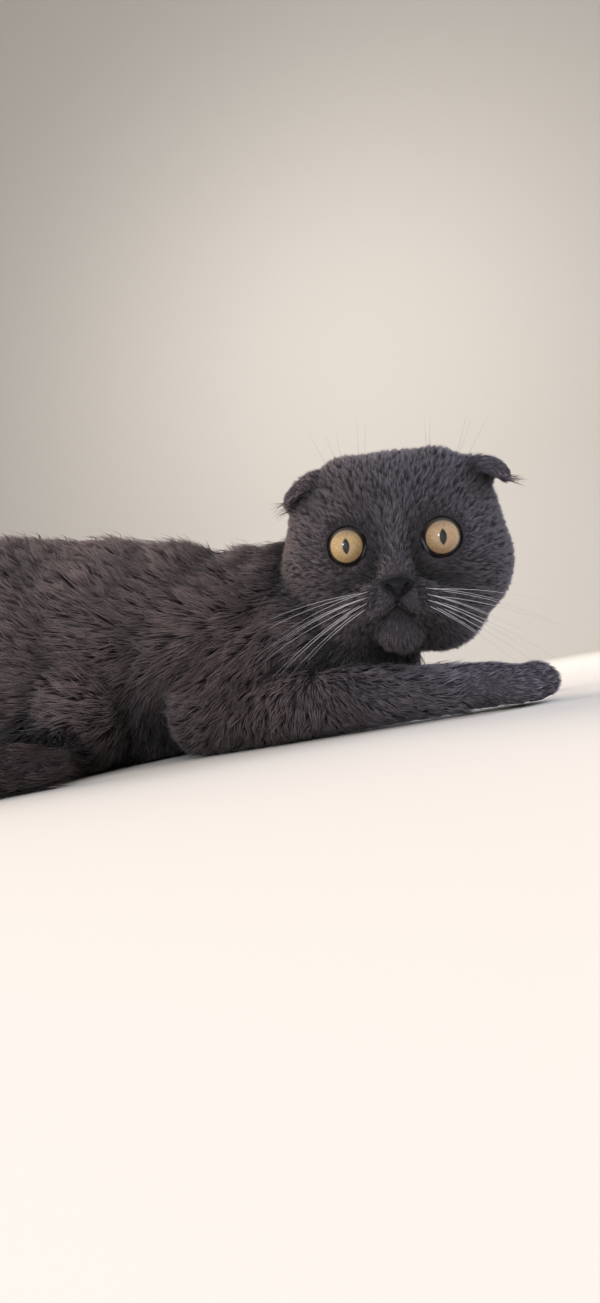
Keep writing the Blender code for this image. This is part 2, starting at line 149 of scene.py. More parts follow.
def link_object(name, mesh):
    made = bpy.data.objects.new(name, mesh)
    bpy.context.scene.collection.objects.link(made)
    return made


stage_mesh = bpy.data.meshes.new("stage")
outline = sweep_outline()
corners = [(side * FLOOR_WIDTH / 2, y, z) for y, z in outline for side in (-1, 1)]
strips = [(2 * i, 2 * i + 1, 2 * i + 3, 2 * i + 2) for i in range(len(outline) - 1)]
stage_mesh.from_pydata(corners, [], strips)
stage_mesh.shade_smooth()
stage = link_object("stage", stage_mesh)
stage_mesh.materials.append(plain_material("backdrop paper", PAPER_COLOUR, 0.9, 0.1))


def add_light(name, place, target, size, power, colour, mirrored=False):
    """A square soft light, turned to face its target."""
    light = bpy.data.lights.new(name, "AREA")
    light.shape = "SQUARE"
    light.size = size
    light.energy = power
    light.color = colour
    lamp = bpy.data.objects.new(name, light)
    lamp.matrix_world = (
        Matrix.Translation(Vector(place))
        @ (Vector(target) - Vector(place)).to_track_quat("-Z", "Y").to_matrix().to_4x4()
    )
    lamp.visible_glossy = mirrored
    bpy.context.scene.collection.objects.link(lamp)


add_light("warm back light", (-0.9, 1.0, 1.1), (0, 0, 0.08), 0.9, 30, (1.0, 0.84, 0.70))
add_light("warm side light", (-1.4, -0.1, 0.6), (0.05, 0, 0.08), 0.7, 16, (1.0, 0.84, 0.74))
add_light("backdrop wash", (0, 1.0, 2.6), (0, 4.0, 1.6), 2.0, 70, (1.0, 0.97, 0.93))
add_light("cool side light", (1.3, 0.35, 0.7), (0.1, 0, 0.08), 0.7, 14, (0.72, 0.80, 1.0))
add_light("front fill", (0.35, -1.4, 0.8), (0.05, 0, 0.07), 0.6, 6, (0.97, 0.96, 1.0))
add_light("eye spark", (-0.15, -0.88, 0.24), (0.15, -0.04, 0.09), 0.18, 3.0, (0.86, 0.93, 1.0), mirrored=True)
world = bpy.data.worlds.new("soft room")
bpy.context.scene.world = world
world.use_nodes = True
world.node_tree.nodes["Background"].inputs["Color"].default_value = ROOM_COLOUR
world.node_tree.nodes["Background"].inputs["Strength"].default_value = ROOM_STRENGTH
bpy.context.scene.view_settings.view_transform = "Standard"
print("lights:", len(bpy.data.lights))

# %% [markdown]
# ## The head's own directions
#
# Lids, whiskers and the lie of the face fur are easier to place from the head than from the room. So the
# head gets three directions of its own: across (to the right in the picture), up, and forward. The head
# looks at the camera and leans a few degrees.

# %% The head's own directions
HEAD_FORWARD = Vector((0.049, -0.980, -0.192)).normalized()
HEAD_LEAN = math.radians(-6.3)
EYE_ABOVE_HEAD_CENTRE = 7.6 * MM
EYE_BEFORE_HEAD_CENTRE = 26.5 * MM

head_across = Vector((0, 0, 1)).cross(HEAD_FORWARD).normalized()
head_up = HEAD_FORWARD.cross(head_across)
HEAD_TURN = Matrix((head_across, head_up, HEAD_FORWARD)).transposed() @ Matrix.Rotation(HEAD_LEAN, 3, "Z")
HEAD_CENTRE = EYES_MIDDLE - HEAD_TURN @ Vector((0, EYE_ABOVE_HEAD_CENTRE, EYE_BEFORE_HEAD_CENTRE))
HEAD_ARRAY = np.array(HEAD_TURN)


def in_head(points):
    """Room points as (across, up, forward) from the head's centre."""
    return (np.asarray(points, float) - np.array(HEAD_CENTRE)) @ HEAD_ARRAY


def from_head(points):
    """The way back, for places."""
    return np.asarray(points, float) @ HEAD_ARRAY.T + np.array(HEAD_CENTRE)


def turned_from_head(vectors):
    """The way back, for directions."""
    return np.asarray(vectors, float) @ HEAD_ARRAY.T


EYES_IN_HEAD = {side: in_head(EYES[side]) for side in EYES}
for side, place in EYES_IN_HEAD.items():
    print(side, "eye in the head (mm):", np.round(place / MM, 1).tolist())

# %% [markdown]
# ## One skin
#
# The solids come as many pieces with thin cuts between them, but a cat has one skin. Copies of all the
# pieces of flesh are joined and puffed up by a hair's breadth, so that the cuts close, and a voxel remesh
# then draws one even surface round them. That surface is the outside of the coat. The skin under it is found
# by moving each point inwards by the depth of the coat there, which is thick on the flank and thin on the
# face.

# %% One skin
CUT_CLOSER = 0.25 * MM
SKIN_VOXEL = 1.55 * MM
SKIN_SMOOTHING = 6
MERGE = 0.01 * MM

bare_nodes = [name for name in sorted(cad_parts) if name == "nose" or name.startswith("eye_")]
flesh_nodes = [name for name in sorted(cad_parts) if name not in bare_nodes]


def read_points(mesh):
    points = np.empty(len(mesh.vertices) * 3, np.float32)
    mesh.vertices.foreach_get("co", points)
    return points.reshape(-1, 3).astype(float)


def write_points(mesh, points):
    mesh.vertices.foreach_set("co", np.ascontiguousarray(points, np.float32).ravel())
    mesh.update()


def read_triangles(mesh):
    mesh.calc_loop_triangles()
    triangles = np.empty(len(mesh.loop_triangles) * 3, np.int32)
    mesh.loop_triangles.foreach_get("vertices", triangles)
    return triangles.reshape(-1, 3)


def read_edges(mesh):
    edges = np.empty(len(mesh.edges) * 2, np.int32)
    mesh.edges.foreach_get("vertices", edges)
    return edges.reshape(-1, 2)


def read_normals(mesh):
    normals = np.empty(len(mesh.vertices) * 3, np.float32)
    mesh.vertices.foreach_get("normal", normals)
    return normals.reshape(-1, 3).astype(float)


def unit(vectors):
    return vectors / np.maximum(np.linalg.norm(vectors, axis=1, keepdims=True), 1e-9)


def soften(values, edges, rounds):
    """Averages each point's values with its neighbours', round after round."""
    values = values.astype(float).copy()
    flat = values.reshape(len(values), -1)
    count = len(values)
    shares = 1 + np.bincount(edges[:, 0], minlength=count) + np.bincount(edges[:, 1], minlength=count)
    for _ in range(rounds):
        fresh = np.empty_like(flat)
        for column in range(flat.shape[1]):
            one = flat[:, column]
            around = np.bincount(edges[:, 0], one[edges[:, 1]], count)
            around += np.bincount(edges[:, 1], one[edges[:, 0]], count)
            fresh[:, column] = (one + around) / shares
        flat = fresh
    return flat.reshape(values.shape)


def evaluated_mesh(subject):
    """The mesh that an object's modifiers give, as a mesh of its own."""
    graph = bpy.context.evaluated_depsgraph_get()
    return bpy.data.meshes.new_from_object(subject.evaluated_get(graph), depsgraph=graph)


def remeshed(mesh, voxel, name):
    """A closed mesh drawn anew as an even net of small squares."""
    helper = link_object(name, mesh)
    modifier = helper.modifiers.new("even net", "REMESH")
    modifier.mode = "VOXEL"
    modifier.voxel_size = voxel
    fresh = evaluated_mesh(helper)
    bpy.data.objects.remove(helper)
    fresh.name = name
    return fresh


def largest_shell(mesh):
    """Keeps only the biggest of a mesh's separate surfaces."""
    edges = read_edges(mesh)
    label = np.arange(len(mesh.vertices))
    while True:
        low = np.minimum(label[edges[:, 0]], label[edges[:, 1]])
        fresh = label.copy()
        np.minimum.at(fresh, edges[:, 0], low)
        np.minimum.at(fresh, edges[:, 1], low)
        fresh = fresh[fresh]
        if np.array_equal(fresh, label):
            break
        label = fresh
    keep = np.bincount(label).argmax()
    scraps = np.flatnonzero(label != keep)
    if len(scraps):
        work = bmesh.new()
        work.from_mesh(mesh)
        work.verts.ensure_lookup_table()
        bmesh.ops.delete(work, geom=[work.verts[i] for i in scraps], context="VERTS")
        work.to_mesh(mesh)
        work.free()
    return len(scraps)


joined = bmesh.new()
face_owner = []
for index, name in enumerate(flesh_nodes):
    joined.from_mesh(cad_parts[name].data)
    face_owner += [index] * (len(joined.faces) - len(face_owner))
joined.verts.index_update()
solid_points = [vertex.co.copy() for vertex in joined.verts]
solid_faces = [[vertex.index for vertex in face.verts] for face in joined.faces]
solid_tree = BVHTree.FromPolygons(solid_points, solid_faces)
bmesh.ops.remove_doubles(joined, verts=joined.verts, dist=MERGE)
joined.normal_update()
for vertex in joined.verts:
    vertex.co += vertex.normal * CUT_CLOSER
joined_mesh = bpy.data.meshes.new("joined")
joined.to_mesh(joined_mesh)
joined.free()
skin_mesh = remeshed(joined_mesh, SKIN_VOXEL, "skin")
print("scraps left out:", largest_shell(skin_mesh))
skin_edges = read_edges(skin_mesh)
outer_points = soften(read_points(skin_mesh), skin_edges, SKIN_SMOOTHING)
write_points(skin_mesh, outer_points)
owner = np.array([face_owner[solid_tree.find_nearest(Vector(point))[2]] for point in outer_points])
print("skin points:", len(outer_points), "triangles:", len(read_triangles(skin_mesh)))

# %% [markdown]
# ## What the coat is like in each place
#
# A groomer would describe a cat's coat part by part: how deep it is, how long the hairs are, how coarse and
# how dense the tufts look, and which way they lie. The table holds this for each part of the body. The
# values are then softened over the skin, so that one part's coat runs into the next without a line.

# %% What the coat is like in each place
COAT = {  # part: depth, hair length, tuft width (all mm), tufts for each square millimetre
    "head": (2.0, 5.2, 0.32, 2.3),
    "ear": (0.6, 3.0, 0.30, 2.0),
    "neck": (5.0, 13.0, 0.66, 0.80),
    "torso": (6.0, 16.0, 0.74, 0.56),
    "thigh": (5.0, 13.0, 0.72, 0.56),
    "upper_arm": (4.2, 12.0, 0.66, 0.72),
    "forearm": (3.0, 9.0, 0.58, 0.85),
    "forepaw": (1.4, 3.8, 0.40, 1.2),
    "hind_foot": (1.8, 5.0, 0.5, 0.60),
    "tail": (5.0, 17.0, 0.76, 0.66),
}
FIELD_SOFTENING = 14


def part_of(node):
    """The coat's part that a node belongs to: upper_arm_right is upper_arm."""
    return next(part for part in COAT if node.startswith(part))


node_coat = np.array([COAT[part_of(name)] for name in flesh_nodes])
coat_field = soften(node_coat[owner], skin_edges, FIELD_SOFTENING)
is_head = soften(np.array([part_of(n) == "head" for n in flesh_nodes], float)[owner], skin_edges, 4)
is_ear = soften(np.array([part_of(n) == "ear" for n in flesh_nodes], float)[owner], skin_edges, 2)
print("mean coat depth (mm):", round(coat_field[:, 0].mean(), 2))

# %% [markdown]
# Round the eyes and on the muzzle the hair is so short that the skin almost shows. The next cell thins the
# coat there by the distance from the eyes' rims and from the middle of the muzzle. The ears are thin sheets
# that the smoothing has worn down, so they are plumped up again.

# %% Short hair round the eyes and on the muzzle
EYE_RIM = 9.6 * MM
EYE_FADE = 9.0 * MM
EYE_SHORTEST = 0.30
MUZZLE_MIDDLE = np.array((0.0, -17.0, 46.0)) * MM
MUZZLE_NEAR, MUZZLE_FAR = 10.0 * MM, 30.0 * MM
MUZZLE_SHORTEST = 0.5
EAR_PLUMP = 1.2  # mm

outer_in_head = in_head(outer_points)


def eye_distance(places):
    """How far head places are from the nearer eye's line of sight."""
    each = [np.hypot(places[:, 0] - eye[0], places[:, 1] - eye[1]) for eye in EYES_IN_HEAD.values()]
    return np.minimum(*each)


def fade(values, start, end):
    """0 below start, 1 above end and smooth between."""
    share = np.clip((values - start) / (end - start), 0, 1)
    return share * share * (3 - 2 * share)


front = fade(outer_in_head[:, 2], 0.0, 15 * MM) * is_head
eye_near = 1 - fade(eye_distance(outer_in_head), EYE_RIM, EYE_RIM + EYE_FADE)
eye_thin = 1 - (1 - EYE_SHORTEST) * front * eye_near
muzzle_distance = np.linalg.norm(outer_in_head - MUZZLE_MIDDLE, axis=1)
muzzle_thin = 1 - (1 - MUZZLE_SHORTEST) * is_head * (1 - fade(muzzle_distance, MUZZLE_NEAR, MUZZLE_FAR))
thinning = np.minimum(eye_thin, muzzle_thin)
coat_field[:, 0] *= thinning
coat_field[:, 1] *= thinning
coat_field[:, 2] *= 0.55 + 0.45 * thinning

outer_normals = read_normals(skin_mesh)
skin_depth = coat_field[:, 0] - EAR_PLUMP * is_ear
skin_points = outer_points - outer_normals * skin_depth[:, None] * MM
skin_points = soften(skin_points, skin_edges, 1)
write_points(skin_mesh, skin_points)
skin_mesh.shade_smooth()
skin_normals = read_normals(skin_mesh)
skin_triangles = read_triangles(skin_mesh)
skin_tree = BVHTree.FromPolygons([Vector(p) for p in skin_points], skin_triangles.tolist())
print("coat depth on the eye rims (mm):", round((coat_field[:, 0][front > 0.9]).min(), 2))

# %% [markdown]
# ## Which way the fur lies
#
# Hair on a cat lies like grass in a stream, away from the nose: up over the forehead, out over the cheeks,
# back along the body and down the legs. Each part gets its own direction, as a slope that changes with
# height or with length along the limb. The directions are then softened over the skin like the lengths, and
# flattened onto it.

# %% Which way the fur lies
LIE_SOFTENING = 10
NOSE_SOURCE = np.array((0.0, -12.0, 44.0)) * MM


def slope_backwards(degrees):
    """Towards the rump, tilted up by this many degrees."""
    angle = np.radians(degrees)
    return np.stack([-np.cos(angle), np.zeros_like(angle), np.sin(angle)], axis=1)


def slope_forwards(degrees):
    """Towards the forepaws, tilted up by this many degrees."""
    angle = np.radians(degrees)
    return np.stack([np.cos(angle), np.zeros_like(angle), np.sin(angle)], axis=1)


def lie_torso(x, y, z):
    return slope_backwards(np.interp(z, (10, 30, 55, 85, 125), (-82, -68, -15, 28, 46)))


def lie_thigh(x, y, z):
    return slope_backwards(np.interp(z, (8, 25, 60, 110), (-25, 0, 20, 38)))


def lie_neck(x, y, z):
    return slope_backwards(np.interp(z, (10, 35, 70, 120), (-78, -55, -28, 8)))


def lie_upper_arm(x, y, z):
    return slope_backwards(np.interp(z, (8, 30, 55, 95), (-74, -58, -32, -14)))


def lie_forearm(x, y, z):
    elbow = slope_backwards(np.interp(z, (5, 20, 40), (-12, 0, 10)))
    middle = slope_backwards(np.interp(z, (5, 25, 45), (-80, -66, -50)))
    wrist = slope_forwards(np.interp(x, (112, 135, 165), (-62, -36, -6)))
    to_middle = np.interp(x, (32, 62), (0, 1))[:, None]
    to_wrist = np.interp(x, (102, 112), (0, 1))[:, None]
    return (elbow * (1 - to_middle) + middle * to_middle) * (1 - to_wrist) + wrist * to_wrist


def lie_along(direction):
    """One direction everywhere, as on a foot or a length of tail."""
    return lambda x, y, z: np.tile(direction, (len(x), 1)).astype(float)


def lie_head(x, y, z):
    places = in_head(np.stack([x, y, z], axis=1) * MM)
    return turned_from_head(unit(places - NOSE_SOURCE))


def lie_ear(outwards):
    return lie_along(turned_from_head(np.array([[outwards * 0.75, -0.35, 0.55]]))[0])


LIES = {
    "head": lie_head,
    "ear_right": lie_ear(-1),
    "ear_left": lie_ear(1),
    "neck": lie_neck,
    "torso": lie_torso,
    "thigh": lie_thigh,
    "upper_arm": lie_upper_arm,
    "forearm": lie_forearm,
    "forepaw": lie_along((1.0, 0.0, -0.15)),
    "hind_foot": lie_along((1.0, 0.0, -0.1)),
    "tail_base": lie_along((-0.75, 0.0, -0.66)),
    "tail_bend_back": lie_along((-0.1, -0.99, -0.1)),
    "tail_bend_side": lie_along((0.45, -0.89, 0.0)),
    "tail_end": lie_along((0.97, -0.24, 0.0)),
    "tail_tip": lie_along((1.0, 0.05, 0.0)),
}

lie = np.zeros_like(skin_points)
for index, name in enumerate(flesh_nodes):
    here = owner == index
    rule = next(LIES[part] for part in LIES if name.startswith(part))
    lie[here] = rule(*(outer_points[here] / MM).T)
lie = soften(lie, skin_edges, LIE_SOFTENING)
lie -= skin_normals * (lie * skin_normals).sum(axis=1, keepdims=True)
lie = unit(lie)
print("lie computed for", len(lie), "points")

# %% [markdown]
# ## Colour of the coat
#
# A blue-grey coat is dark at the roots and paler at the tips, warmer on the flank and cooler on the face and
# paws, with soft patches in between. The dark roots are partly painted shade, which makes the gaps between
# the tufts dark. Skin and fur need the same markings, so they are one node group, which each material then
# uses with its own values. The group's zone input carries markings and painted shade alike. It reads object
# coordinates, so the markings stay in place on the cat from every side.

# %% Colour of the coat
# Root colours are the hair's own dark base and painted shade deep in the coat.
WARM_ROOT, WARM_TIP = (0.0080, 0.0054, 0.0054, 1), (0.130, 0.092, 0.090, 1)
COOL_ROOT, COOL_TIP = (0.0100, 0.0090, 0.0118, 1), (0.146, 0.130, 0.152, 1)
WARM_UNTIL, COOL_FROM = 0.04, 0.18
ZONE_LIGHTEST = 2.0


def add_node(tree, kind, **settings):
    node = tree.nodes.new(kind)
    for name, value in settings.items():
        setattr(node, name, value)
    return node


def make_markings():
    """Colour from root to tip, with a random shade for each tuft, soft patches over the body and each point's
    zone of markings and painted shade.
    """
    group = bpy.data.node_groups.new("coat markings", "ShaderNodeTree")
    for name, value in (("Root to tip", 0.5), ("Shade", 0.5), ("Zone", 0.5)):
        socket = group.interface.new_socket(name, in_out="INPUT", socket_type="NodeSocketFloat")
        socket.default_value = value
    group.interface.new_socket("Colour", in_out="OUTPUT", socket_type="NodeSocketColor")
    entry = add_node(group, "NodeGroupInput")
    exit_node = add_node(group, "NodeGroupOutput")
    place = add_node(group, "ShaderNodeTexCoord")
    split = add_node(group, "ShaderNodeSeparateXYZ")
    group.links.new(place.outputs["Object"], split.inputs[0])
    patches = add_node(group, "ShaderNodeTexNoise")
    patches.inputs["Scale"].default_value = 34
    patches.inputs["Detail"].default_value = 3
    patches.inputs["Roughness"].default_value = 0.55
    group.links.new(place.outputs["Object"], patches.inputs["Vector"])
    cool = add_node(group, "ShaderNodeMapRange", interpolation_type="SMOOTHSTEP")
    cool.inputs["From Min"].default_value = WARM_UNTIL
    cool.inputs["From Max"].default_value = COOL_FROM
    group.links.new(split.outputs["X"], cool.inputs["Value"])
    ends = []
    for warm_colour, cool_colour in ((WARM_ROOT, COOL_ROOT), (WARM_TIP, COOL_TIP)):
        mix = add_node(group, "ShaderNodeMix", data_type="RGBA")
        mix.inputs[6].default_value = warm_colour
        mix.inputs[7].default_value = cool_colour
        group.links.new(cool.outputs["Result"], mix.inputs[0])
        ends.append(mix.outputs[2])
    along = add_node(group, "ShaderNodeMath", operation="POWER", use_clamp=True)
    along.inputs[1].default_value = 1.25
    group.links.new(entry.outputs["Root to tip"], along.inputs[0])
    hair = add_node(group, "ShaderNodeMix", data_type="RGBA")
    group.links.new(along.outputs[0], hair.inputs[0])
    group.links.new(ends[0], hair.inputs[6])
    group.links.new(ends[1], hair.inputs[7])
    bright = add_node(group, "ShaderNodeMapRange")
    bright.inputs["To Min"].default_value = 0.42
    bright.inputs["To Max"].default_value = 1.58
    group.links.new(entry.outputs["Shade"], bright.inputs["Value"])
    patchy = add_node(group, "ShaderNodeMapRange")
    patchy.inputs["From Min"].default_value = 0.3
    patchy.inputs["From Max"].default_value = 0.7
    patchy.inputs["To Min"].default_value = 0.84
    patchy.inputs["To Max"].default_value = 1.16
    group.links.new(patches.outputs["Fac"], patchy.inputs["Value"])
    both = add_node(group, "ShaderNodeMath", operation="MULTIPLY")
    group.links.new(bright.outputs["Result"], both.inputs[0])
    group.links.new(patchy.outputs["Result"], both.inputs[1])
    # The zone brings in markings and painted shade.
    zoned = add_node(group, "ShaderNodeMath", operation="MULTIPLY")
    zoned.inputs[1].default_value = ZONE_LIGHTEST
    group.links.new(entry.outputs["Zone"], zoned.inputs[0])
    all_three = add_node(group, "ShaderNodeMath", operation="MULTIPLY")
    group.links.new(both.outputs[0], all_three.inputs[0])
    group.links.new(zoned.outputs[0], all_three.inputs[1])
    shaded = add_node(group, "ShaderNodeVectorMath", operation="SCALE")
    group.links.new(hair.outputs[2], shaded.inputs[0])
    group.links.new(all_three.outputs[0], shaded.inputs["Scale"])
    group.links.new(shaded.outputs[0], exit_node.inputs["Colour"])
    return group


markings = make_markings()


def make_coat_material():
    material, links, shader = new_material("coat fur")
    reader = add_node(material.node_tree, "ShaderNodeAttribute", attribute_name="coat")
    split = add_node(material.node_tree, "ShaderNodeSeparateColor")
    links.new(reader.outputs["Color"], split.inputs[0])
    group = add_node(material.node_tree, "ShaderNodeGroup", node_tree=markings)
    links.new(split.outputs["Red"], group.inputs["Root to tip"])
    links.new(split.outputs["Green"], group.inputs["Shade"])
    links.new(split.outputs["Blue"], group.inputs["Zone"])
    links.new(group.outputs["Colour"], shader.inputs["Base Color"])
    shader.inputs["Roughness"].default_value = 0.55
    shader.inputs["Specular IOR Level"].default_value = 0.35
    shader.inputs["Sheen Weight"].default_value = 0.12
    shader.inputs["Sheen Roughness"].default_value = 0.45
    shader.inputs["Sheen Tint"].default_value = (0.9, 0.86, 0.9, 1)
    return material


def make_skin_material():
    material, links, shader = new_material("skin under the coat")
    place = add_node(material.node_tree, "ShaderNodeTexCoord")
    group = add_node(material.node_tree, "ShaderNodeGroup", node_tree=markings)
    # The skin takes a colour near the roots', which is painted shade in the gaps between the tufts.
    group.inputs["Root to tip"].default_value = 0.2
    reader = add_node(material.node_tree, "ShaderNodeAttribute", attribute_name="coat")
    split = add_node(material.node_tree, "ShaderNodeSeparateColor")
    links.new(reader.outputs["Color"], split.inputs[0])
    links.new(split.outputs["Blue"], group.inputs["Zone"])
    fuzz = add_node(material.node_tree, "ShaderNodeTexNoise")
    fuzz.inputs["Scale"].default_value = 1400
    fuzz.inputs["Detail"].default_value = 2
    links.new(place.outputs["Object"], fuzz.inputs["Vector"])
    links.new(fuzz.outputs["Fac"], group.inputs["Shade"])
    links.new(group.outputs["Colour"], shader.inputs["Base Color"])
    bump = add_node(material.node_tree, "ShaderNodeBump")
    bump.inputs["Distance"].default_value = 0.0006
    bump.inputs["Strength"].default_value = 0.6
    links.new(fuzz.outputs["Fac"], bump.inputs["Height"])
    links.new(bump.outputs["Normal"], shader.inputs["Normal"])
    shader.inputs["Roughness"].default_value = 0.8
    shader.inputs["Specular IOR Level"].default_value = 0.2
    return material


coat_material = make_coat_material()
skin_material = make_skin_material()
print("materials:", [m.name for m in bpy.data.materials])

# %% [markdown]
# ## Places on the face
#
# Some details, such as the line of the mouth and the roots of the whiskers, are easiest to point at in the
# picture. A ray from the camera through that point of the picture finds the place on the skin, so the detail
# sits on the face from every side.

# %% Places on the face
camera_place = camera.matrix_world.translation.copy()
camera_turn = camera.matrix_world.to_3x3()


def ray_through(px, py):
    """The direction from the camera through a point of the picture."""
    ray = Vector(((px - PICTURE_WIDTH / 2) / FOCAL_PIXELS, (PICTURE_HEIGHT / 2 - py) / FOCAL_PIXELS, -1))
    return (camera_turn @ ray).normalized()


def seen_at(px, py):
    """The place on the skin that the camera sees at a point of the picture."""
    return skin_tree.ray_cast(camera_place, ray_through(px, py))[0]


PHILTRUM = ((397.3, 590.0), (397.2, 596.0), (397.6, 603.5))
LIPS = (
    ((397.6, 603.5), (394.0, 606.0), (390.0, 609.5), (386.5, 614.0), (382.5, 617.5)),
    ((397.6, 603.5), (401.0, 605.5), (404.5, 608.5), (408.0, 612.0), (412.5, 615.0)),
)
NOSTRIL_SLITS = (((386.0, 585.0), (378.5, 581.5)), ((407.5, 584.0), (413.5, 580.0)))
# Lines of painted shade in the fold under each whisker pad, as points of the picture.
PAD_FOLD_SHADE = (
    ((382.5, 617.5), (372.0, 621.5), (360.0, 620.0)),
    ((412.5, 615.0), (424.0, 618.0), (437.0, 614.0)),
)
WHISKER_ROWS = 4
WHISKERS_IN_ROW = 4


def whisker_roots(side):
    """Rows of whisker roots on one pad, as points of the picture."""
    spots = []
    for row in range(WHISKER_ROWS):
        for step in range(WHISKERS_IN_ROW):
            away = 21 + 7.0 * step + 1.2 * row
            drop = 588 + 6.0 * row + 1.6 * step
            spots.append((397.5 + side * away, drop - side * 0.055 * away))
    return spots


def on_skin(points):
    """The places on the skin that the camera sees at points of the picture."""
    return [seen_at(*point) for point in points]


WHISKER_PLACES = {side: on_skin(whisker_roots(side)) for side in (-1, 1)}
print("whisker roots:", sum(len(places) for places in WHISKER_PLACES.values()))

# %% [markdown]
# ## Darker and paler zones
#
# The coat is darker round the eyes, beside the nose and at each whisker's root, and paler on the paws, the
# ears, the chin and below the eyes. Shade is painted in as well: in creases, above the eyes, in the fold of
# the mouth, under the whisker pads and low down towards the floor, with a little painted light on bulges. A
# zone is a
# number for each point: a half changes nothing, less is darker and more is paler. Creases are found by
# comparing the skin with a smoothed copy of itself.

# %% Zones
CREASE_SOFTENING = 30
CREASE_DEEPEST = 1.2
WHISKER_SPOT = 1.9 * MM
ZONE_DARKEST = 0.04


def near_lines(places, points_of_picture, room):
    """1 on the lines through points of the picture, falling to 0 at the room's distance."""
    ends = np.array(on_skin(points_of_picture))
    nearest = np.full(len(places), np.inf)
    for start, end in zip(ends, ends[1:]):
        along = end - start
        share = np.clip(((places - start) @ along) / (along @ along), 0, 1)
        nearest = np.minimum(nearest, np.linalg.norm(places - (start + share[:, None] * along), axis=1))
    return 1 - fade(nearest, 0.25 * room, room)


def face_marks_and_painted_shade(places):
    """What the face's markings add to the zone, with painted shade above the eyes, in the mouth's fold and
    under the whisker pads.
    """
    head = in_head(places)
    far = eye_distance(head)
    eye_up = head[:, 1] - EYES_IN_HEAD["right"][1]
    added = np.zeros(len(places))
    muzzle = np.linalg.norm(head - np.array((0, -24.0, 46.0)) * MM, axis=1)
    added += 0.17 * (1 - fade(muzzle, 17 * MM, 30 * MM))
    added -= 0.16 * (1 - fade(far, 9.3 * MM, 11.0 * MM))
    # Painted shade above each eye, where the upper lid shades the fur.
    painted_shade_above_eyes = fade(eye_up, 2 * MM, 8 * MM)
    added -= 0.20 * painted_shade_above_eyes * (1 - fade(far, 12 * MM, 17 * MM))
    below = fade(-eye_up, -1 * MM, 7 * MM)
    added += 0.12 * below * fade(far, 10.5 * MM, 12 * MM) * (1 - fade(far, 14 * MM, 21 * MM))
    for eye, to_nose in (("right", 1), ("left", -1)):
        corner = EYES_IN_HEAD[eye] + np.array((to_nose * 12.0, -5.0, 0)) * MM
        added -= 0.28 * (1 - fade(np.hypot(*(head[:, :2] - corner[:2]).T), 1.5 * MM, 6 * MM))
    for slit in NOSTRIL_SLITS:
        added -= 0.40 * near_lines(places, slit, 2.6 * MM)
    # The lips are dark skin, and the fold round them gets painted shade.
    for lip in LIPS:
        added -= 0.42 * near_lines(places, lip, 3.0 * MM)
    # Painted shade in the fold under each whisker pad.
    for fold in PAD_FOLD_SHADE:
        added -= 0.20 * near_lines(places, fold, 4.0 * MM)
    added -= 0.35 * near_lines(places, PHILTRUM, 2.0 * MM)
    for side, spots in WHISKER_PLACES.items():
        for spot in spots:
            away = np.linalg.norm(places - np.array(spot), axis=1)
            added -= 0.50 * (1 - fade(away, 0.4 * WHISKER_SPOT, WHISKER_SPOT))
        points = whisker_roots(side)
        for row in range(WHISKER_ROWS):
            in_row = points[row * WHISKERS_IN_ROW:(row + 1) * WHISKERS_IN_ROW]
            added -= 0.16 * near_lines(places, in_row, 1.5 * MM)
    return added * fade(head[:, 2], 0, 10 * MM)


def painted_floor_shade_and_pale_paws(places):
    """Painted shade low down towards the floor, pale on the forepaws."""
    added = -0.34 * (1 - fade(places[:, 2], 8 * MM, 50 * MM)) * (1 - fade(places[:, 0], 20 * MM, 110 * MM))
    added += 0.50 * fade(places[:, 0], 150 * MM, 190 * MM) * (1 - fade(places[:, 2], 30 * MM, 42 * MM))
    return added


smoothed_points = soften(outer_points, skin_edges, CREASE_SOFTENING)
hollow = ((smoothed_points - outer_points) * outer_normals).sum(axis=1) / MM
painted_crease_shading = soften(np.clip(hollow, -CREASE_DEEPEST, CREASE_DEEPEST) / CREASE_DEEPEST, skin_edges, 2)
# Painted shade in creases and low down towards the floor, and a little painted light on bulges.
skin_zone = 0.5 + painted_floor_shade_and_pale_paws(outer_points) - 0.5 * np.maximum(painted_crease_shading, 0)
skin_zone = skin_zone - 0.12 * np.minimum(painted_crease_shading, 0) + 0.4 * is_ear
print("zones from", round(skin_zone.min(), 2), "to", round(skin_zone.max(), 2))

# %% [markdown]
# The skin that is shown is a copy with fewer triangles, because the fur hides it almost everywhere.

# %% The shown skin
SHOWN_TRIANGLES = 170000


def coarser(mesh, triangles, name):
    """A copy of a mesh brought down to about this many triangles."""
    helper = link_object(name, mesh.copy())
    reduce = helper.modifiers.new("coarser", "DECIMATE")
    reduce.ratio = triangles / len(read_triangles(mesh))
    reduce.use_collapse_triangulate = True
    fresh = evaluated_mesh(helper)
    bpy.data.objects.remove(helper)
    fresh.name = name
    return fresh


def nearest_points(places, tree_points):
    """For each place, the number of the nearest of the tree's points."""
    tree = KDTree(len(tree_points))
    for number, point in enumerate(tree_points):
        tree.insert(Vector(point), number)
    tree.balance()
    return np.array([tree.find(Vector(place))[1] for place in places])


def write_coat_colour(mesh, colour):
    """Stores the attribute that the coat's materials read."""
    layer = mesh.color_attributes.new("coat", "FLOAT_COLOR", "POINT")
    layer.data.foreach_set("color", colour.ravel())


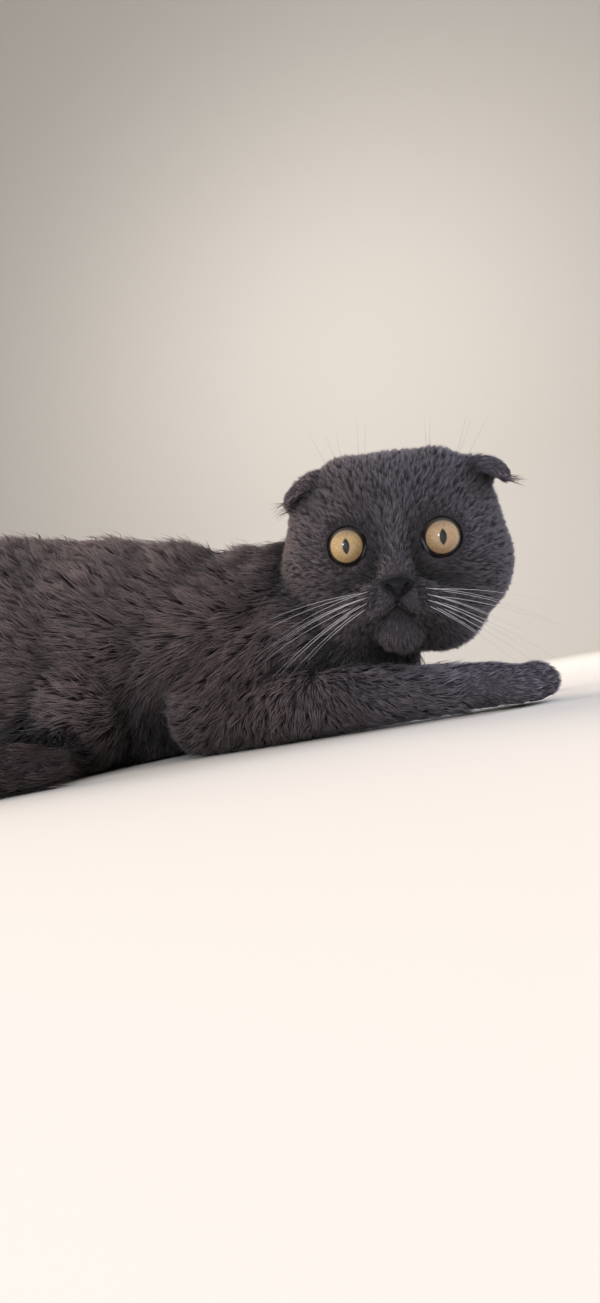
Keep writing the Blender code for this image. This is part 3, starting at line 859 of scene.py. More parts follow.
shown_mesh = coarser(skin_mesh, SHOWN_TRIANGLES, "skin")
shown_points = read_points(shown_mesh)
shown_from = nearest_points(shown_points, skin_points)
shown_colour = np.full((len(shown_points), 4), 0.5, np.float32)
shown_zone = skin_zone[shown_from] + face_marks_and_painted_shade(shown_points) * is_head[shown_from]
shown_colour[:, 2] = np.clip(shown_zone, ZONE_DARKEST, 1)
write_coat_colour(shown_mesh, shown_colour)
shown_mesh.shade_smooth()
shown_mesh.materials.clear()
shown_mesh.materials.append(skin_material)
skin = link_object("skin", shown_mesh)
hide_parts(*flesh_nodes)
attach(skin, "root")
print("shown skin triangles:", len(read_triangles(shown_mesh)))

# %% [markdown]
# ## The unwrap
#
# So that the fur's colours can be baked into an image, each tuft needs a small patch of that image of its
# own, at its root's place on a flat unwrap of the skin. A coarse copy of the skin is unwrapped, and each root
# takes the place of the nearest point on it.

# %% The unwrap
UNWRAP_TRIANGLES = 5000
PATCH = 0.003


def unwrap_skin():
    """A coarse copy of the skin laid flat: its tree, points, corners and their places in the image."""
    mesh = coarser(skin_mesh, UNWRAP_TRIANGLES, "unwrapped")
    helper = link_object("unwrapped", mesh)
    mesh.uv_layers.new(name="flat")
    bpy.context.view_layer.objects.active = helper
    for other in bpy.context.selected_objects:
        other.select_set(False)
    helper.select_set(True)
    bpy.ops.object.mode_set(mode="EDIT")
    bpy.ops.mesh.select_all(action="SELECT")
    bpy.ops.uv.smart_project(angle_limit=math.radians(66), island_margin=0.01)
    bpy.ops.object.mode_set(mode="OBJECT")
    points = read_points(mesh)
    corners = np.empty(len(mesh.loops), np.int32)
    mesh.loops.foreach_get("vertex_index", corners)
    flat = np.empty(len(mesh.loops) * 2, np.float32)
    mesh.uv_layers["flat"].data.foreach_get("uv", flat)
    corners, flat = corners.reshape(-1, 3), flat.reshape(-1, 3, 2)
    bpy.data.objects.remove(helper)
    return BVHTree.FromPolygons([Vector(p) for p in points], corners.tolist()), points, corners, flat


flat_tree, flat_points, flat_corners, flat_places = unwrap_skin()


def unwrap_places(roots):
    """Where each root lies on the flat unwrap."""
    hits = [flat_tree.find_nearest(Vector(root)) for root in roots]
    face = np.array([hit[2] for hit in hits])
    near = np.array([hit[0] for hit in hits])
    a, b, c = (flat_points[flat_corners[face, k]] for k in range(3))
    ab, ac, ap = b - a, c - a, near - a
    d00, d01, d11 = (ab * ab).sum(1), (ab * ac).sum(1), (ac * ac).sum(1)
    d20, d21 = (ap * ab).sum(1), (ap * ac).sum(1)
    scale = np.maximum(d00 * d11 - d01 * d01, 1e-20)
    v, w = (d11 * d20 - d01 * d21) / scale, (d00 * d21 - d01 * d20) / scale
    weights = np.clip(np.stack([1 - v - w, v, w], axis=1), 0, 1)
    return (flat_places[face] * weights[:, :, None]).sum(axis=1)


print("unwrap triangles:", len(flat_corners))

# %% [markdown]
# ## The fur
#
# Real fur has far too many hairs to model, but the eye reads it as tufts that overlap like thatch. Each tuft
# here is a thin closed blade with a three-sided section. Roots are scattered over the skin by area and
# density. A blade rises from its root, bends over and lies along the coat. Neighbours belong to a clump that
# shares a direction and a shade and draws its tips together. Short fur on the face and paws uses straight
# blades of four triangles, longer fur bent ones of ten.

# %% Scattering the roots
rng = np.random.default_rng(7)
NOSE_CLEAR = 0.8 * MM
EYE_CLEAR = 9.1 * MM
UNDERSIDE = 3.0 * MM

triangle_corners = skin_points[skin_triangles]
first_side = triangle_corners[:, 1] - triangle_corners[:, 0]
second_side = triangle_corners[:, 2] - triangle_corners[:, 0]
triangle_area = 0.5 * np.linalg.norm(np.cross(first_side, second_side), axis=1)
triangle_density = coat_field[skin_triangles, 3].mean(axis=1) / MM**2
wanted = triangle_area * triangle_density
tuft_count = int(wanted.sum())
chosen = np.searchsorted(np.cumsum(wanted), rng.random(tuft_count) * wanted.sum())
chosen = np.minimum(chosen, len(wanted) - 1)
first, second = rng.random(tuft_count), rng.random(tuft_count)
swap = first + second > 1
first[swap], second[swap] = 1 - first[swap], 1 - second[swap]
blend = np.stack([1 - first - second, first, second], axis=1)


def at_roots(values):
    """Values of the skin's points, read at the roots."""
    weights = blend.reshape(len(blend), 3, *([1] * (values.ndim - 1)))
    return (values[skin_triangles[chosen]] * weights).sum(axis=1)


roots = at_roots(skin_points)
root_normals = unit(at_roots(skin_normals))
root_lie = at_roots(lie)
root_lie = unit(root_lie - root_normals * (root_lie * root_normals).sum(axis=1, keepdims=True))
root_coat = at_roots(coat_field)
root_zone = np.clip(at_roots(skin_zone) + face_marks_and_painted_shade(roots) * at_roots(is_head), ZONE_DARKEST, 1)
root_owner = owner[skin_triangles[chosen, 0]]
root_in_head = in_head(roots)
print("roots scattered:", tuft_count)

# %% [markdown]
# Some places stay bare: the eyes within their lids, the nose leather, the line of the mouth, and the parts
# pressed flat on the floor.

# %% Bare places
nose_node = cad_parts["nose"]
nose_corners = [vertex.co.copy() for vertex in nose_node.data.vertices]
nose_faces = [list(face.vertices) for face in nose_node.data.polygons]
nose_tree = BVHTree.FromPolygons(nose_corners, nose_faces)
is_head_root = np.array([part_of(n) == "head" for n in flesh_nodes])[root_owner]
face_roots = (root_in_head[:, 2] > 8 * MM) & is_head_root
keep = ~(face_roots & (eye_distance(root_in_head) < EYE_CLEAR))
keep &= ~((roots[:, 2] < UNDERSIDE) & (root_normals[:, 2] < -0.6))
for line, room in ((PHILTRUM, 1.1 * MM), *((lip, 1.4 * MM) for lip in LIPS)):
    keep &= near_lines(roots, line, room) < 0.3
near_nose = face_roots & (np.abs(root_in_head[:, 0]) < 14 * MM) & (root_in_head[:, 1] < 0)
for index in np.flatnonzero(near_nose):
    if nose_tree.find_nearest(Vector(roots[index]))[3] < NOSE_CLEAR:
        keep[index] = False
roots, root_normals, root_lie, root_coat, root_zone, root_owner, root_in_head = (
    values[keep] for values in (roots, root_normals, root_lie, root_coat, root_zone, root_owner, root_in_head)
)
print("roots kept:", len(roots))

# %% [markdown]
# Next the clumps: a few roots become clump centres, and every root joins the nearest one.

# %% Clumps
CLUMP_SHARE = 0.11
CLUMP_TURN, TUFT_TURN = math.radians(13), math.radians(8)
SHADE_FROM_CLUMP = 0.5
STRAY_SHARE = 0.10

count = len(roots)
centres = np.flatnonzero(rng.random(count) < CLUMP_SHARE)
tree = KDTree(len(centres))
for number, index in enumerate(centres):
    tree.insert(Vector(roots[index]), number)
tree.balance()
clump = np.array([tree.find(Vector(root))[1] for root in roots])
clump_turn = rng.normal(0, CLUMP_TURN, len(centres))
clump_long = rng.normal(1, 0.10, len(centres))
clump_shade = rng.random(len(centres))
clump_pull = rng.uniform(0.15, 0.6, len(centres))

turn = clump_turn[clump] + rng.normal(0, TUFT_TURN, count)
root_side = np.cross(root_normals, root_lie)
lie_dir = unit(root_lie * np.cos(turn)[:, None] + root_side * np.sin(turn)[:, None])
stray = np.where(rng.random(count) < STRAY_SHARE, rng.uniform(1.25, 1.9, count), 1.0)
length = root_coat[:, 1] * MM * clump_long[clump] * rng.uniform(0.72, 1.22, count) * (0.6 + 0.4 * stray)
rise = root_coat[:, 0] * MM * rng.uniform(0.72, 1.18, count) * stray
width = root_coat[:, 2] * MM * rng.uniform(0.75, 1.25, count)
reach = np.sqrt(np.maximum(length**2 - rise**2, (0.3 * length) ** 2))
tips = roots + lie_dir * reach[:, None] + root_normals * rise[:, None]
tips += (tips[centres][clump] - tips) * clump_pull[clump][:, None]
middles = roots + lie_dir * (0.36 * reach)[:, None] + root_normals * (0.74 * rise)[:, None]
middles += (tips - roots - (lie_dir * reach[:, None] + root_normals * rise[:, None])) * 0.3
shade = np.clip(clump_shade[clump] * SHADE_FROM_CLUMP + rng.random(count) * (1 - SHADE_FROM_CLUMP), 0, 1)
print("clumps:", len(centres), "mean tuft length (mm):", round(length.mean() / MM, 2))

# %% [markdown]
# Now the blades are written as arrays, straight into meshes, one mesh for each part of the coat. The colour
# attribute "coat" says how far along the hair a corner is (red), how light the tuft is (green) and its zone
# (blue). The map OFBake gives each tuft its own patch of the unwrap.

# %% Blades into meshes
FLOOR_CLEAR = 0.3 * MM
BLADE_THICKNESS = 0.4
SHORT_PARTS = ("head", "ear", "forepaw", "hind_foot")
LARGEST_PIECE = 195000
BENT_FACES = np.array((
    (0, 2, 1), (0, 1, 4), (0, 4, 3), (1, 2, 5), (1, 5, 4),
    (2, 0, 3), (2, 3, 5), (3, 4, 6), (4, 5, 6), (5, 3, 6),
))
STRAIGHT_FACES = np.array(((0, 2, 1), (0, 1, 3), (1, 2, 3), (2, 0, 3)))


def blade_points(which, bent):
    """The corners of each blade: a three-sided foot, perhaps a three-sided middle, and the tip."""
    root, middle, tip = roots[which], middles[which], tips[which]
    normal, wide = root_normals[which], width[which][:, None]
    side = unit(np.cross(lie_dir[which], normal))
    rings = []
    for place, share in ((root, 1.0), (middle, 0.8)) if bent else ((root, 1.0),):
        rings += [place - side * wide * share / 2, place + side * wide * share / 2]
        rings += [place + normal * wide * share * BLADE_THICKNESS]
    return np.stack(rings + [tip], axis=1)


def blade_mesh(name, which, bent):
    points = blade_points(which, bent)
    per_blade = points.shape[1]
    faces = BENT_FACES if bent else STRAIGHT_FACES
    points[:, :, 2] = np.maximum(points[:, :, 2], FLOOR_CLEAR)
    corners = (np.arange(len(which))[:, None, None] * per_blade + faces[None]).reshape(-1, 3)
    mesh = bpy.data.meshes.new(name)
    mesh.vertices.add(points.shape[0] * per_blade)
    mesh.vertices.foreach_set("co", points.astype(np.float32).ravel())
    mesh.loops.add(corners.size)
    mesh.loops.foreach_set("vertex_index", corners.astype(np.int32).ravel())
    mesh.polygons.add(len(corners))
    mesh.polygons.foreach_set("loop_start", np.arange(0, corners.size, 3, dtype=np.int32))
    mesh.polygons.foreach_set("loop_total", np.full(len(corners), 3, np.int32))
    mesh.update(calc_edges=True)
    mesh.shade_smooth()
    along = np.array((0, 0, 0, 0.6, 0.6, 0.6, 1.0) if bent else (0, 0, 0, 1.0))
    colour = np.ones((len(which), per_blade, 4), np.float32)
    colour[:, :, 0] = along
    colour[:, :, 1] = shade[which][:, None]
    colour[:, :, 2] = root_zone[which][:, None]
    write_coat_colour(mesh, colour)
    spots = np.array([(0, 0), (0.5, 0), (1, 0), (0, 0.6), (0.5, 0.6), (1, 0.6), (0.5, 1)])
    if not bent:
        spots = spots[[0, 1, 2, 6]]
    places = unwrap_places(roots[which])[:, None, :] + (spots[None] - 0.5) * PATCH
    at_corners = places.reshape(-1, 2)[corners.ravel()].astype(np.float32)
    mesh.uv_layers.new(name="OFBake").data.foreach_set("uv", at_corners.ravel())
    mesh.materials.append(coat_material)
    return mesh


PIECES = {
    "face_fur": ("head",), "ear_fur": ("ear",), "neck_fur": ("neck",), "body_fur": ("torso",),
    "thigh_fur": ("thigh",), "foreleg_fur": ("upper_arm", "forearm"), "paw_fur": ("forepaw", "hind_foot"),
    "tail_fur": ("tail",),
}
all_triangles = 0
part_names = np.array([part_of(name) for name in flesh_nodes])
for piece_name, parts in PIECES.items():
    bent = parts[0] not in SHORT_PARTS
    which = np.flatnonzero(np.isin(part_names[root_owner], parts))
    each = len(BENT_FACES) if bent else len(STRAIGHT_FACES)
    portions = math.ceil(len(which) * each / LARGEST_PIECE)
    order = which[np.argsort(roots[which, 0], kind="stable")]
    for number, portion in enumerate(np.array_split(order, portions)):
        name = piece_name if portions == 1 else f"{piece_name}_{number + 1}"
        coat = link_object(name, blade_mesh(name, portion, bent))
        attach(coat, "root")
        all_triangles += len(portion) * each
        print(name, len(portion), "tufts")
print("coat triangles:", all_triangles)

# %% [markdown]
# ## The eyes
#
# A cat's eye is a ball with a clear dome in front. In a still model both can be one glossy surface: the
# picture of the iris is painted by nodes on a map that looks along the eye's line of sight, and a clear coat
# gives the wet shine. The iris is pale gold with fine threads from the pupil outwards and a dark ring round
# it, and the upper lid's shadow is painted on its upper part. The pupil is an upright almond.

# %% The eyes
IRIS_RADIUS = 8.3 * MM
CORNEA_RISE = 1.2 * MM
PUPIL_HALF_HEIGHT, PUPIL_HALF_WIDTH = 4.0 * MM, 1.75 * MM
EYE_RINGS, EYE_SPOKES = 48, 96
TO_NOSE = {"right": 1, "left": -1}
CORNER_TURN = math.radians(-22)


def eye_profile(angle):
    """Distance from the eye's centre at an angle from the line of sight."""
    edge = math.asin(IRIS_RADIUS * 1.03 / EYE_RADIUS)
    if angle >= edge:
        return EYE_RADIUS
    share = math.cos(angle / edge * math.pi / 2) ** 2
    return EYE_RADIUS + CORNEA_RISE * share


def make_eye_mesh(name, centre):
    """A ball whose rings run round the line of sight; on the map gaze, 100 mm is one unit."""
    work = bmesh.new()
    gaze = work.loops.layers.uv.new("gaze")
    turn = HEAD_TURN
    rings = []
    flat = {}
    front = work.verts.new(centre + turn @ Vector((0, 0, eye_profile(0))))
    flat[front] = (0.0, 0.0)
    for ring in range(1, EYE_RINGS):
        angle = ring / EYE_RINGS * math.pi
        far = eye_profile(angle)
        row = []
        for spoke in range(EYE_SPOKES):
            around = spoke / EYE_SPOKES * 2 * math.pi
            u, v = math.cos(around), math.sin(around)
            place = Vector((u * math.sin(angle), v * math.sin(angle), math.cos(angle))) * far
            vertex = work.verts.new(centre + turn @ place)
            spread = far * math.sin(angle) if angle < math.pi / 2 else 2 * EYE_RADIUS - far * math.sin(angle)
            flat[vertex] = (u * spread, v * spread)
            row.append(vertex)
        rings.append(row)
    back = work.verts.new(centre + turn @ Vector((0, 0, -EYE_RADIUS)))
    flat[back] = (2 * EYE_RADIUS, 0.0)
    for spoke in range(EYE_SPOKES):
        after = (spoke + 1) % EYE_SPOKES
        work.faces.new((front, rings[0][spoke], rings[0][after]))
        for near, far in zip(rings, rings[1:]):
            work.faces.new((near[spoke], far[spoke], far[after], near[after]))
        work.faces.new((rings[-1][spoke], back, rings[-1][after]))
    for face in work.faces:
        face.smooth = True
        for corner in face.loops:
            u, v = flat[corner.vert]
            corner[gaze].uv = (0.5 + u / (100 * MM), 0.5 + v / (100 * MM))
    bmesh.ops.recalc_face_normals(work, faces=work.faces)
    mesh = bpy.data.meshes.new(name)
    work.to_mesh(mesh)
    work.free()
    return mesh


def math_node(tree, operation, first, second=None):
    """A Math node whose inputs are sockets or numbers."""
    node = add_node(tree, "ShaderNodeMath", operation=operation)
    for index, value in enumerate((first, second)):
        if value is None:
            continue
        if isinstance(value, (int, float)):
            node.inputs[index].default_value = value
        else:
            tree.links.new(value, node.inputs[index])
    return node.outputs[0]


def mix_colours(tree, share, first, second):
    """A colour Mix node whose inputs are sockets or colours."""
    node = add_node(tree, "ShaderNodeMix", data_type="RGBA")
    for index, value in ((0, share), (6, first), (7, second)):
        if isinstance(value, (int, float, tuple)):
            node.inputs[index].default_value = value
        else:
            tree.links.new(value, node.inputs[index])
    return node.outputs[2]


def soft_step(tree, value, start, end):
    node = add_node(tree, "ShaderNodeMapRange", interpolation_type="SMOOTHSTEP")
    tree.links.new(value, node.inputs["Value"])
    node.inputs["From Min"].default_value = start
    node.inputs["From Max"].default_value = end
    return node.outputs["Result"]


def make_eye_material(name, to_nose, inner, outer):
    """Iris, pupil, dark ring, the dark white of the eye round it and a painted shadow of the upper lid, on
    the map gaze.
    """
    material, links, shader = new_material(name)
    tree = material.node_tree
    gaze = add_node(tree, "ShaderNodeUVMap", uv_map="gaze")
    centred = add_node(tree, "ShaderNodeVectorMath", operation="SUBTRACT")
    centred.inputs[1].default_value = (0.5, 0.5, 0)
    links.new(gaze.outputs["UV"], centred.inputs[0])
    in_mm = add_node(tree, "ShaderNodeVectorMath", operation="SCALE")
    in_mm.inputs["Scale"].default_value = 100
    links.new(centred.outputs[0], in_mm.inputs[0])
    split = add_node(tree, "ShaderNodeSeparateXYZ")
    links.new(in_mm.outputs[0], split.inputs[0])
    across, up = split.outputs["X"], split.outputs["Y"]
    radius = math_node(tree, "SQRT", math_node(
        tree, "ADD", math_node(tree, "MULTIPLY", across, across), math_node(tree, "MULTIPLY", up, up)))
    around = math_node(tree, "ARCTAN2", up, across)
    threads_at = add_node(tree, "ShaderNodeCombineXYZ")
    links.new(math_node(tree, "MULTIPLY", math_node(tree, "COSINE", around), 9.0), threads_at.inputs[0])
    links.new(math_node(tree, "MULTIPLY", math_node(tree, "SINE", around), 9.0), threads_at.inputs[1])
    links.new(math_node(tree, "MULTIPLY", radius, 0.35), threads_at.inputs[2])
    threads = add_node(tree, "ShaderNodeTexNoise")
    threads.inputs["Scale"].default_value = 1.6
    threads.inputs["Detail"].default_value = 5
    threads.inputs["Roughness"].default_value = 0.65
    links.new(threads_at.outputs[0], threads.inputs["Vector"])
    iris = mix_colours(tree, soft_step(tree, radius, 2.0, 7.8), inner, outer)
    dark_threads = soft_step(tree, threads.outputs["Fac"], 0.62, 0.30)
    iris = mix_colours(tree, math_node(tree, "MULTIPLY", dark_threads, 0.55), iris, (0.26, 0.16, 0.06, 1))
    light_threads = soft_step(tree, threads.outputs["Fac"], 0.52, 0.72)
    iris = mix_colours(tree, math_node(tree, "MULTIPLY", light_threads, 0.4), iris, (0.86, 0.64, 0.34, 1))
    ring = soft_step(tree, radius, 7.85, 8.4)
    iris = mix_colours(tree, ring, iris, (0.02, 0.014, 0.012, 1))
    bulge = (PUPIL_HALF_HEIGHT**2 - PUPIL_HALF_WIDTH**2) / (2 * PUPIL_HALF_WIDTH) / MM
    arc = bulge + PUPIL_HALF_WIDTH / MM
    beside = math_node(tree, "ADD", math_node(tree, "ABSOLUTE", across), bulge)
    almond = math_node(tree, "SQRT", math_node(
        tree, "ADD", math_node(tree, "MULTIPLY", beside, beside), math_node(tree, "MULTIPLY", up, up)))
    edge_glow = soft_step(tree, almond, arc + 0.9, arc + 0.05)
    iris = mix_colours(tree, math_node(tree, "MULTIPLY", edge_glow, 0.45), iris, (0.22, 0.17, 0.07, 1))
    # Painted shadow of the upper lid on the iris's upper part.
    painted_lid_shadow = soft_step(tree, up, 3.5, 8.0)
    iris = mix_colours(tree, math_node(tree, "MULTIPLY", painted_lid_shadow, 0.5), iris, (0.10, 0.085, 0.07, 1))
    pupil = soft_step(tree, almond, arc + 0.12, arc - 0.12)
    colour = mix_colours(tree, pupil, iris, (0.004, 0.004, 0.006, 1))
    to_corner = math_node(tree, "ADD", math_node(tree, "MULTIPLY", across, to_nose * math.cos(CORNER_TURN)),
                          math_node(tree, "MULTIPLY", up, math.sin(CORNER_TURN)))
    sliver_start = soft_step(tree, to_corner, 8.75, 8.95)
    sliver_end = soft_step(tree, to_corner, 9.9, 9.5)
    sliver = math_node(tree, "MULTIPLY", sliver_start, sliver_end)
    colour = mix_colours(tree, sliver, colour, (0.17, 0.18, 0.21, 1))
    links.new(colour, shader.inputs["Base Color"])
    shader.inputs["Roughness"].default_value = 0.32
    shader.inputs["Specular IOR Level"].default_value = 0.3
    shader.inputs["Coat Weight"].default_value = 1.0
    shader.inputs["Coat Roughness"].default_value = 0.02
    shader.inputs["Coat IOR"].default_value = 1.376
    bump = add_node(tree, "ShaderNodeBump")
    bump.inputs["Distance"].default_value = 0.0002
    bump.inputs["Strength"].default_value = 0.35
    links.new(threads.outputs["Fac"], bump.inputs["Height"])
    links.new(bump.outputs["Normal"], shader.inputs["Normal"])
    return material


IRIS_COLOURS = {
    "right": ((0.45, 0.32, 0.17, 1), (0.43, 0.29, 0.13, 1)),
    "left": ((0.41, 0.28, 0.18, 1), (0.38, 0.25, 0.145, 1)),
}
for side, centre in EYES.items():
    eye = link_object(f"eyeball_{side}", make_eye_mesh(f"eyeball_{side}", centre))
    eye.data.materials.append(make_eye_material(f"iris {side}", TO_NOSE[side], *IRIS_COLOURS[side]))
    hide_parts(f"eye_{side}")
    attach(eye, "root")
print("eyes made:", list(EYES))

# %% [markdown]
# ## The lids
#
# The rim of each lid is bare, dark and a little wet. It is a ring of rows: the first touches the ball, the
# next ones roll over the rim, and the last sinks into the skin of the face. Towards the nose the ring is
# drawn out to the inner corner.

# %% The lids
LID_ROWS = ((8.4, 0.1), (8.6, 0.4), (8.9, 0.55), (9.25, 0.4), (10.0, -0.1), (11.5, -1.1))  # radius, height
LID_SPOKES = 96
CORNER_REACH = 3.3 * MM


def face_forward_at(u, v):
    """How far forward the skin is at a place across and up in the head."""
    start = Vector(from_head((u, v, 80 * MM)))
    hit = skin_tree.ray_cast(start, Vector(turned_from_head((0, 0, -1))))
    return None if hit[0] is None else in_head(hit[0])[2]


def ball_forward_at(spread):
    return math.sqrt(max(EYE_RADIUS**2 - min(spread, EYE_RADIUS) ** 2, 0.0))


def lid_point(eye, to_nose, radius, height, around):
    """A point of the lid, in the head's directions."""
    corner_angle = CORNER_TURN if to_nose > 0 else math.pi - CORNER_TURN
    off = math.cos(around - corner_angle)
    drawn = CORNER_REACH * max(off, 0) ** 14
    spread = radius * MM + drawn
    u = eye[0] + spread * math.cos(around)
    v = eye[1] + spread * math.sin(around)
    on_ball = eye[2] + ball_forward_at(spread)
    on_skin = face_forward_at(u, v)
    share = min(max((radius - 8.5) / (11.0 - 8.5), 0), 1)
    base = on_ball if on_skin is None else on_ball * (1 - share) + on_skin * share
    return (u, v, base + height * MM)


def make_lid(side):
    eye = EYES_IN_HEAD[side]
    to_nose = TO_NOSE[side]
    work = bmesh.new()
    rows = []
    for radius, height in LID_ROWS:
        turns = [step / LID_SPOKES * 2 * math.pi for step in range(LID_SPOKES)]
        row = [lid_point(eye, to_nose, radius, height, around) for around in turns]
        rows.append([work.verts.new(Vector(from_head(point))) for point in row])
    for near, far in zip(rows, rows[1:]):
        for step in range(LID_SPOKES):
            after = (step + 1) % LID_SPOKES
            work.faces.new((near[step], far[step], far[after], near[after]))
    for face in work.faces:
        face.smooth = True
    mesh = bpy.data.meshes.new(f"lid_{side}")
    work.to_mesh(mesh)
    work.free()
    lid = link_object(f"lid_{side}", mesh)
    thick = lid.modifiers.new("thickness", "SOLIDIFY")
    thick.thickness = 0.6 * MM
    thick.offset = -1
    finished = evaluated_mesh(lid)
    lid.modifiers.clear()
    lid.data = finished
    return lid


lid_material = plain_material("lid rim", (0.012, 0.010, 0.012, 1), 0.38)
for side in EYES:
    lid = make_lid(side)
    lid.data.materials.clear()
    lid.data.materials.append(lid_material)
    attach(lid, "root")
print("lids made")

# %% [markdown]
# ## The nose
#
# The nose leather is bare and finely pebbled. The solid already has its shape, so a copy is drawn anew with
# a fine net, which rounds its edges, and the pebbles are a bump from small cells.

# %% The nose
NOSE_VOXEL = 0.35 * MM
nose_mesh = remeshed(nose_node.data.copy(), NOSE_VOXEL, "nose_leather")
write_points(nose_mesh, soften(read_points(nose_mesh), read_edges(nose_mesh), 3))
nose_mesh.shade_smooth()
nose = link_object("nose_leather", nose_mesh)
nose_material, links, shader = new_material("nose leather")
place = add_node(nose_material.node_tree, "ShaderNodeTexCoord")
pebbles = add_node(nose_material.node_tree, "ShaderNodeTexVoronoi", feature="SMOOTH_F1")
pebbles.inputs["Scale"].default_value = 2200
links.new(place.outputs["Object"], pebbles.inputs["Vector"])
tone = add_node(nose_material.node_tree, "ShaderNodeMix", data_type="RGBA")
tone.inputs[6].default_value = (0.003, 0.003, 0.005, 1)
tone.inputs[7].default_value = (0.010, 0.010, 0.014, 1)
links.new(pebbles.outputs["Distance"], tone.inputs[0])
links.new(tone.outputs[2], shader.inputs["Base Color"])
bump = add_node(nose_material.node_tree, "ShaderNodeBump")
bump.inputs["Distance"].default_value = 0.00015
links.new(pebbles.outputs["Distance"], bump.inputs["Height"])
links.new(bump.outputs["Normal"], shader.inputs["Normal"])
shader.inputs["Roughness"].default_value = 0.5
shader.inputs["Specular IOR Level"].default_value = 0.22
nose_mesh.materials.clear()
nose_mesh.materials.append(nose_material)
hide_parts("nose")
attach(nose, "root")
print("nose points:", len(nose_mesh.vertices))

# %% [markdown]
# ## Whiskers, brows and single hairs
#
# Whiskers repeat one form, a thin cone that droops a little, so a node tree grows them. It puts a straight
# line on each root point, turns it along the point's aim, stretches it to its reach, bends it down and gives
# it a round section that thins towards the tip. The same tree makes the brow hairs, and the dark hairs that
# stick out at the ears' edges.

# %% A node tree for bristles
BRISTLE_STEPS = 9


def make_bristle_tree():
    tree = bpy.data.node_groups.new("bristles", "GeometryNodeTree")
    tree.interface.new_socket("Geometry", in_out="INPUT", socket_type="NodeSocketGeometry")
    for name, kind, value in (("Girth", "Float", 0.0002), ("Droop", "Float", 0.1), ("Seed", "Int", 3)):
        tree.interface.new_socket(name, in_out="INPUT", socket_type=f"NodeSocket{kind}").default_value = value
    tree.interface.new_socket("Material", in_out="INPUT", socket_type="NodeSocketMaterial")
    tree.interface.new_socket("Geometry", in_out="OUTPUT", socket_type="NodeSocketGeometry")
    link = tree.links.new
    entry, leave = add_node(tree, "NodeGroupInput"), add_node(tree, "NodeGroupOutput")
    aim = add_node(tree, "GeometryNodeInputNamedAttribute", data_type="FLOAT_VECTOR")
    aim.inputs["Name"].default_value = "aim"
    reach = add_node(tree, "GeometryNodeInputNamedAttribute", data_type="FLOAT")
    reach.inputs["Name"].default_value = "reach"
    turn = add_node(tree, "FunctionNodeAlignRotationToVector", axis="Z")
    link(aim.outputs["Attribute"], turn.inputs["Vector"])
    vary = add_node(tree, "FunctionNodeRandomValue", data_type="FLOAT")
    vary.inputs[2].default_value = 0.85
    vary.inputs[3].default_value = 1.0
    link(entry.outputs["Seed"], vary.inputs["Seed"])
    long = math_node(tree, "MULTIPLY", reach.outputs["Attribute"], vary.outputs[1])
    stretch = add_node(tree, "ShaderNodeCombineXYZ")
    stretch.inputs["X"].default_value = 1
    stretch.inputs["Y"].default_value = 1
    link(long, stretch.inputs["Z"])
    line = add_node(tree, "GeometryNodeCurvePrimitiveLine")
    line.inputs["End"].default_value = (0, 0, 1)
    steps = add_node(tree, "GeometryNodeResampleCurve")
    steps.inputs["Count"].default_value = BRISTLE_STEPS
    link(line.outputs["Curve"], steps.inputs["Curve"])
    grow = add_node(tree, "GeometryNodeInstanceOnPoints")
    link(entry.outputs["Geometry"], grow.inputs["Points"])
    link(steps.outputs["Curve"], grow.inputs["Instance"])
    link(turn.outputs["Rotation"], grow.inputs["Rotation"])
    link(stretch.outputs["Vector"], grow.inputs["Scale"])
    real = add_node(tree, "GeometryNodeRealizeInstances")
    link(grow.outputs["Instances"], real.inputs["Geometry"])
    along = add_node(tree, "GeometryNodeSplineParameter")
    squared = math_node(tree, "POWER", along.outputs["Factor"], 2.0)
    bend = math_node(tree, "MULTIPLY", squared, reach.outputs["Attribute"])
    bend = math_node(tree, "MULTIPLY", math_node(tree, "MULTIPLY", bend, entry.outputs["Droop"]), -1.0)
    down = add_node(tree, "ShaderNodeCombineXYZ")
    link(bend, down.inputs["Z"])
    move = add_node(tree, "GeometryNodeSetPosition")
    link(real.outputs["Geometry"], move.inputs["Geometry"])
    link(down.outputs["Vector"], move.inputs["Offset"])
    section = add_node(tree, "GeometryNodeCurvePrimitiveCircle")
    section.inputs["Resolution"].default_value = 5
    section.inputs["Radius"].default_value = 1.0
    thin = math_node(tree, "SUBTRACT", 1.0, math_node(tree, "MULTIPLY", along.outputs["Factor"], 0.85))
    solid = add_node(tree, "GeometryNodeCurveToMesh")
    solid.inputs["Fill Caps"].default_value = True
    link(move.outputs["Geometry"], solid.inputs["Curve"])
    link(section.outputs["Curve"], solid.inputs["Profile Curve"])
    link(math_node(tree, "MULTIPLY", thin, entry.outputs["Girth"]), solid.inputs["Scale"])
    smooth = add_node(tree, "GeometryNodeSetShadeSmooth")
    link(solid.outputs["Mesh"], smooth.inputs["Geometry"])
    finish = add_node(tree, "GeometryNodeSetMaterial")
    link(smooth.outputs["Geometry"], finish.inputs["Geometry"])
    link(entry.outputs["Material"], finish.inputs["Material"])
    link(finish.outputs["Geometry"], leave.inputs["Geometry"])
    return tree


bristle_tree = make_bristle_tree()
bristle_sockets = [item for item in bristle_tree.interface.items_tree if item.item_type == "SOCKET"]
print("bristle sockets:", [item.name for item in bristle_sockets])

# %% [markdown]
# A helper turns a list of roots, aims and reaches into a finished mesh. Aims are given in the head's own
# directions: across, up and forward.

# %% Growing the bristles
FARTHEST_X, HIGHEST_Z = 0.249, 0.177


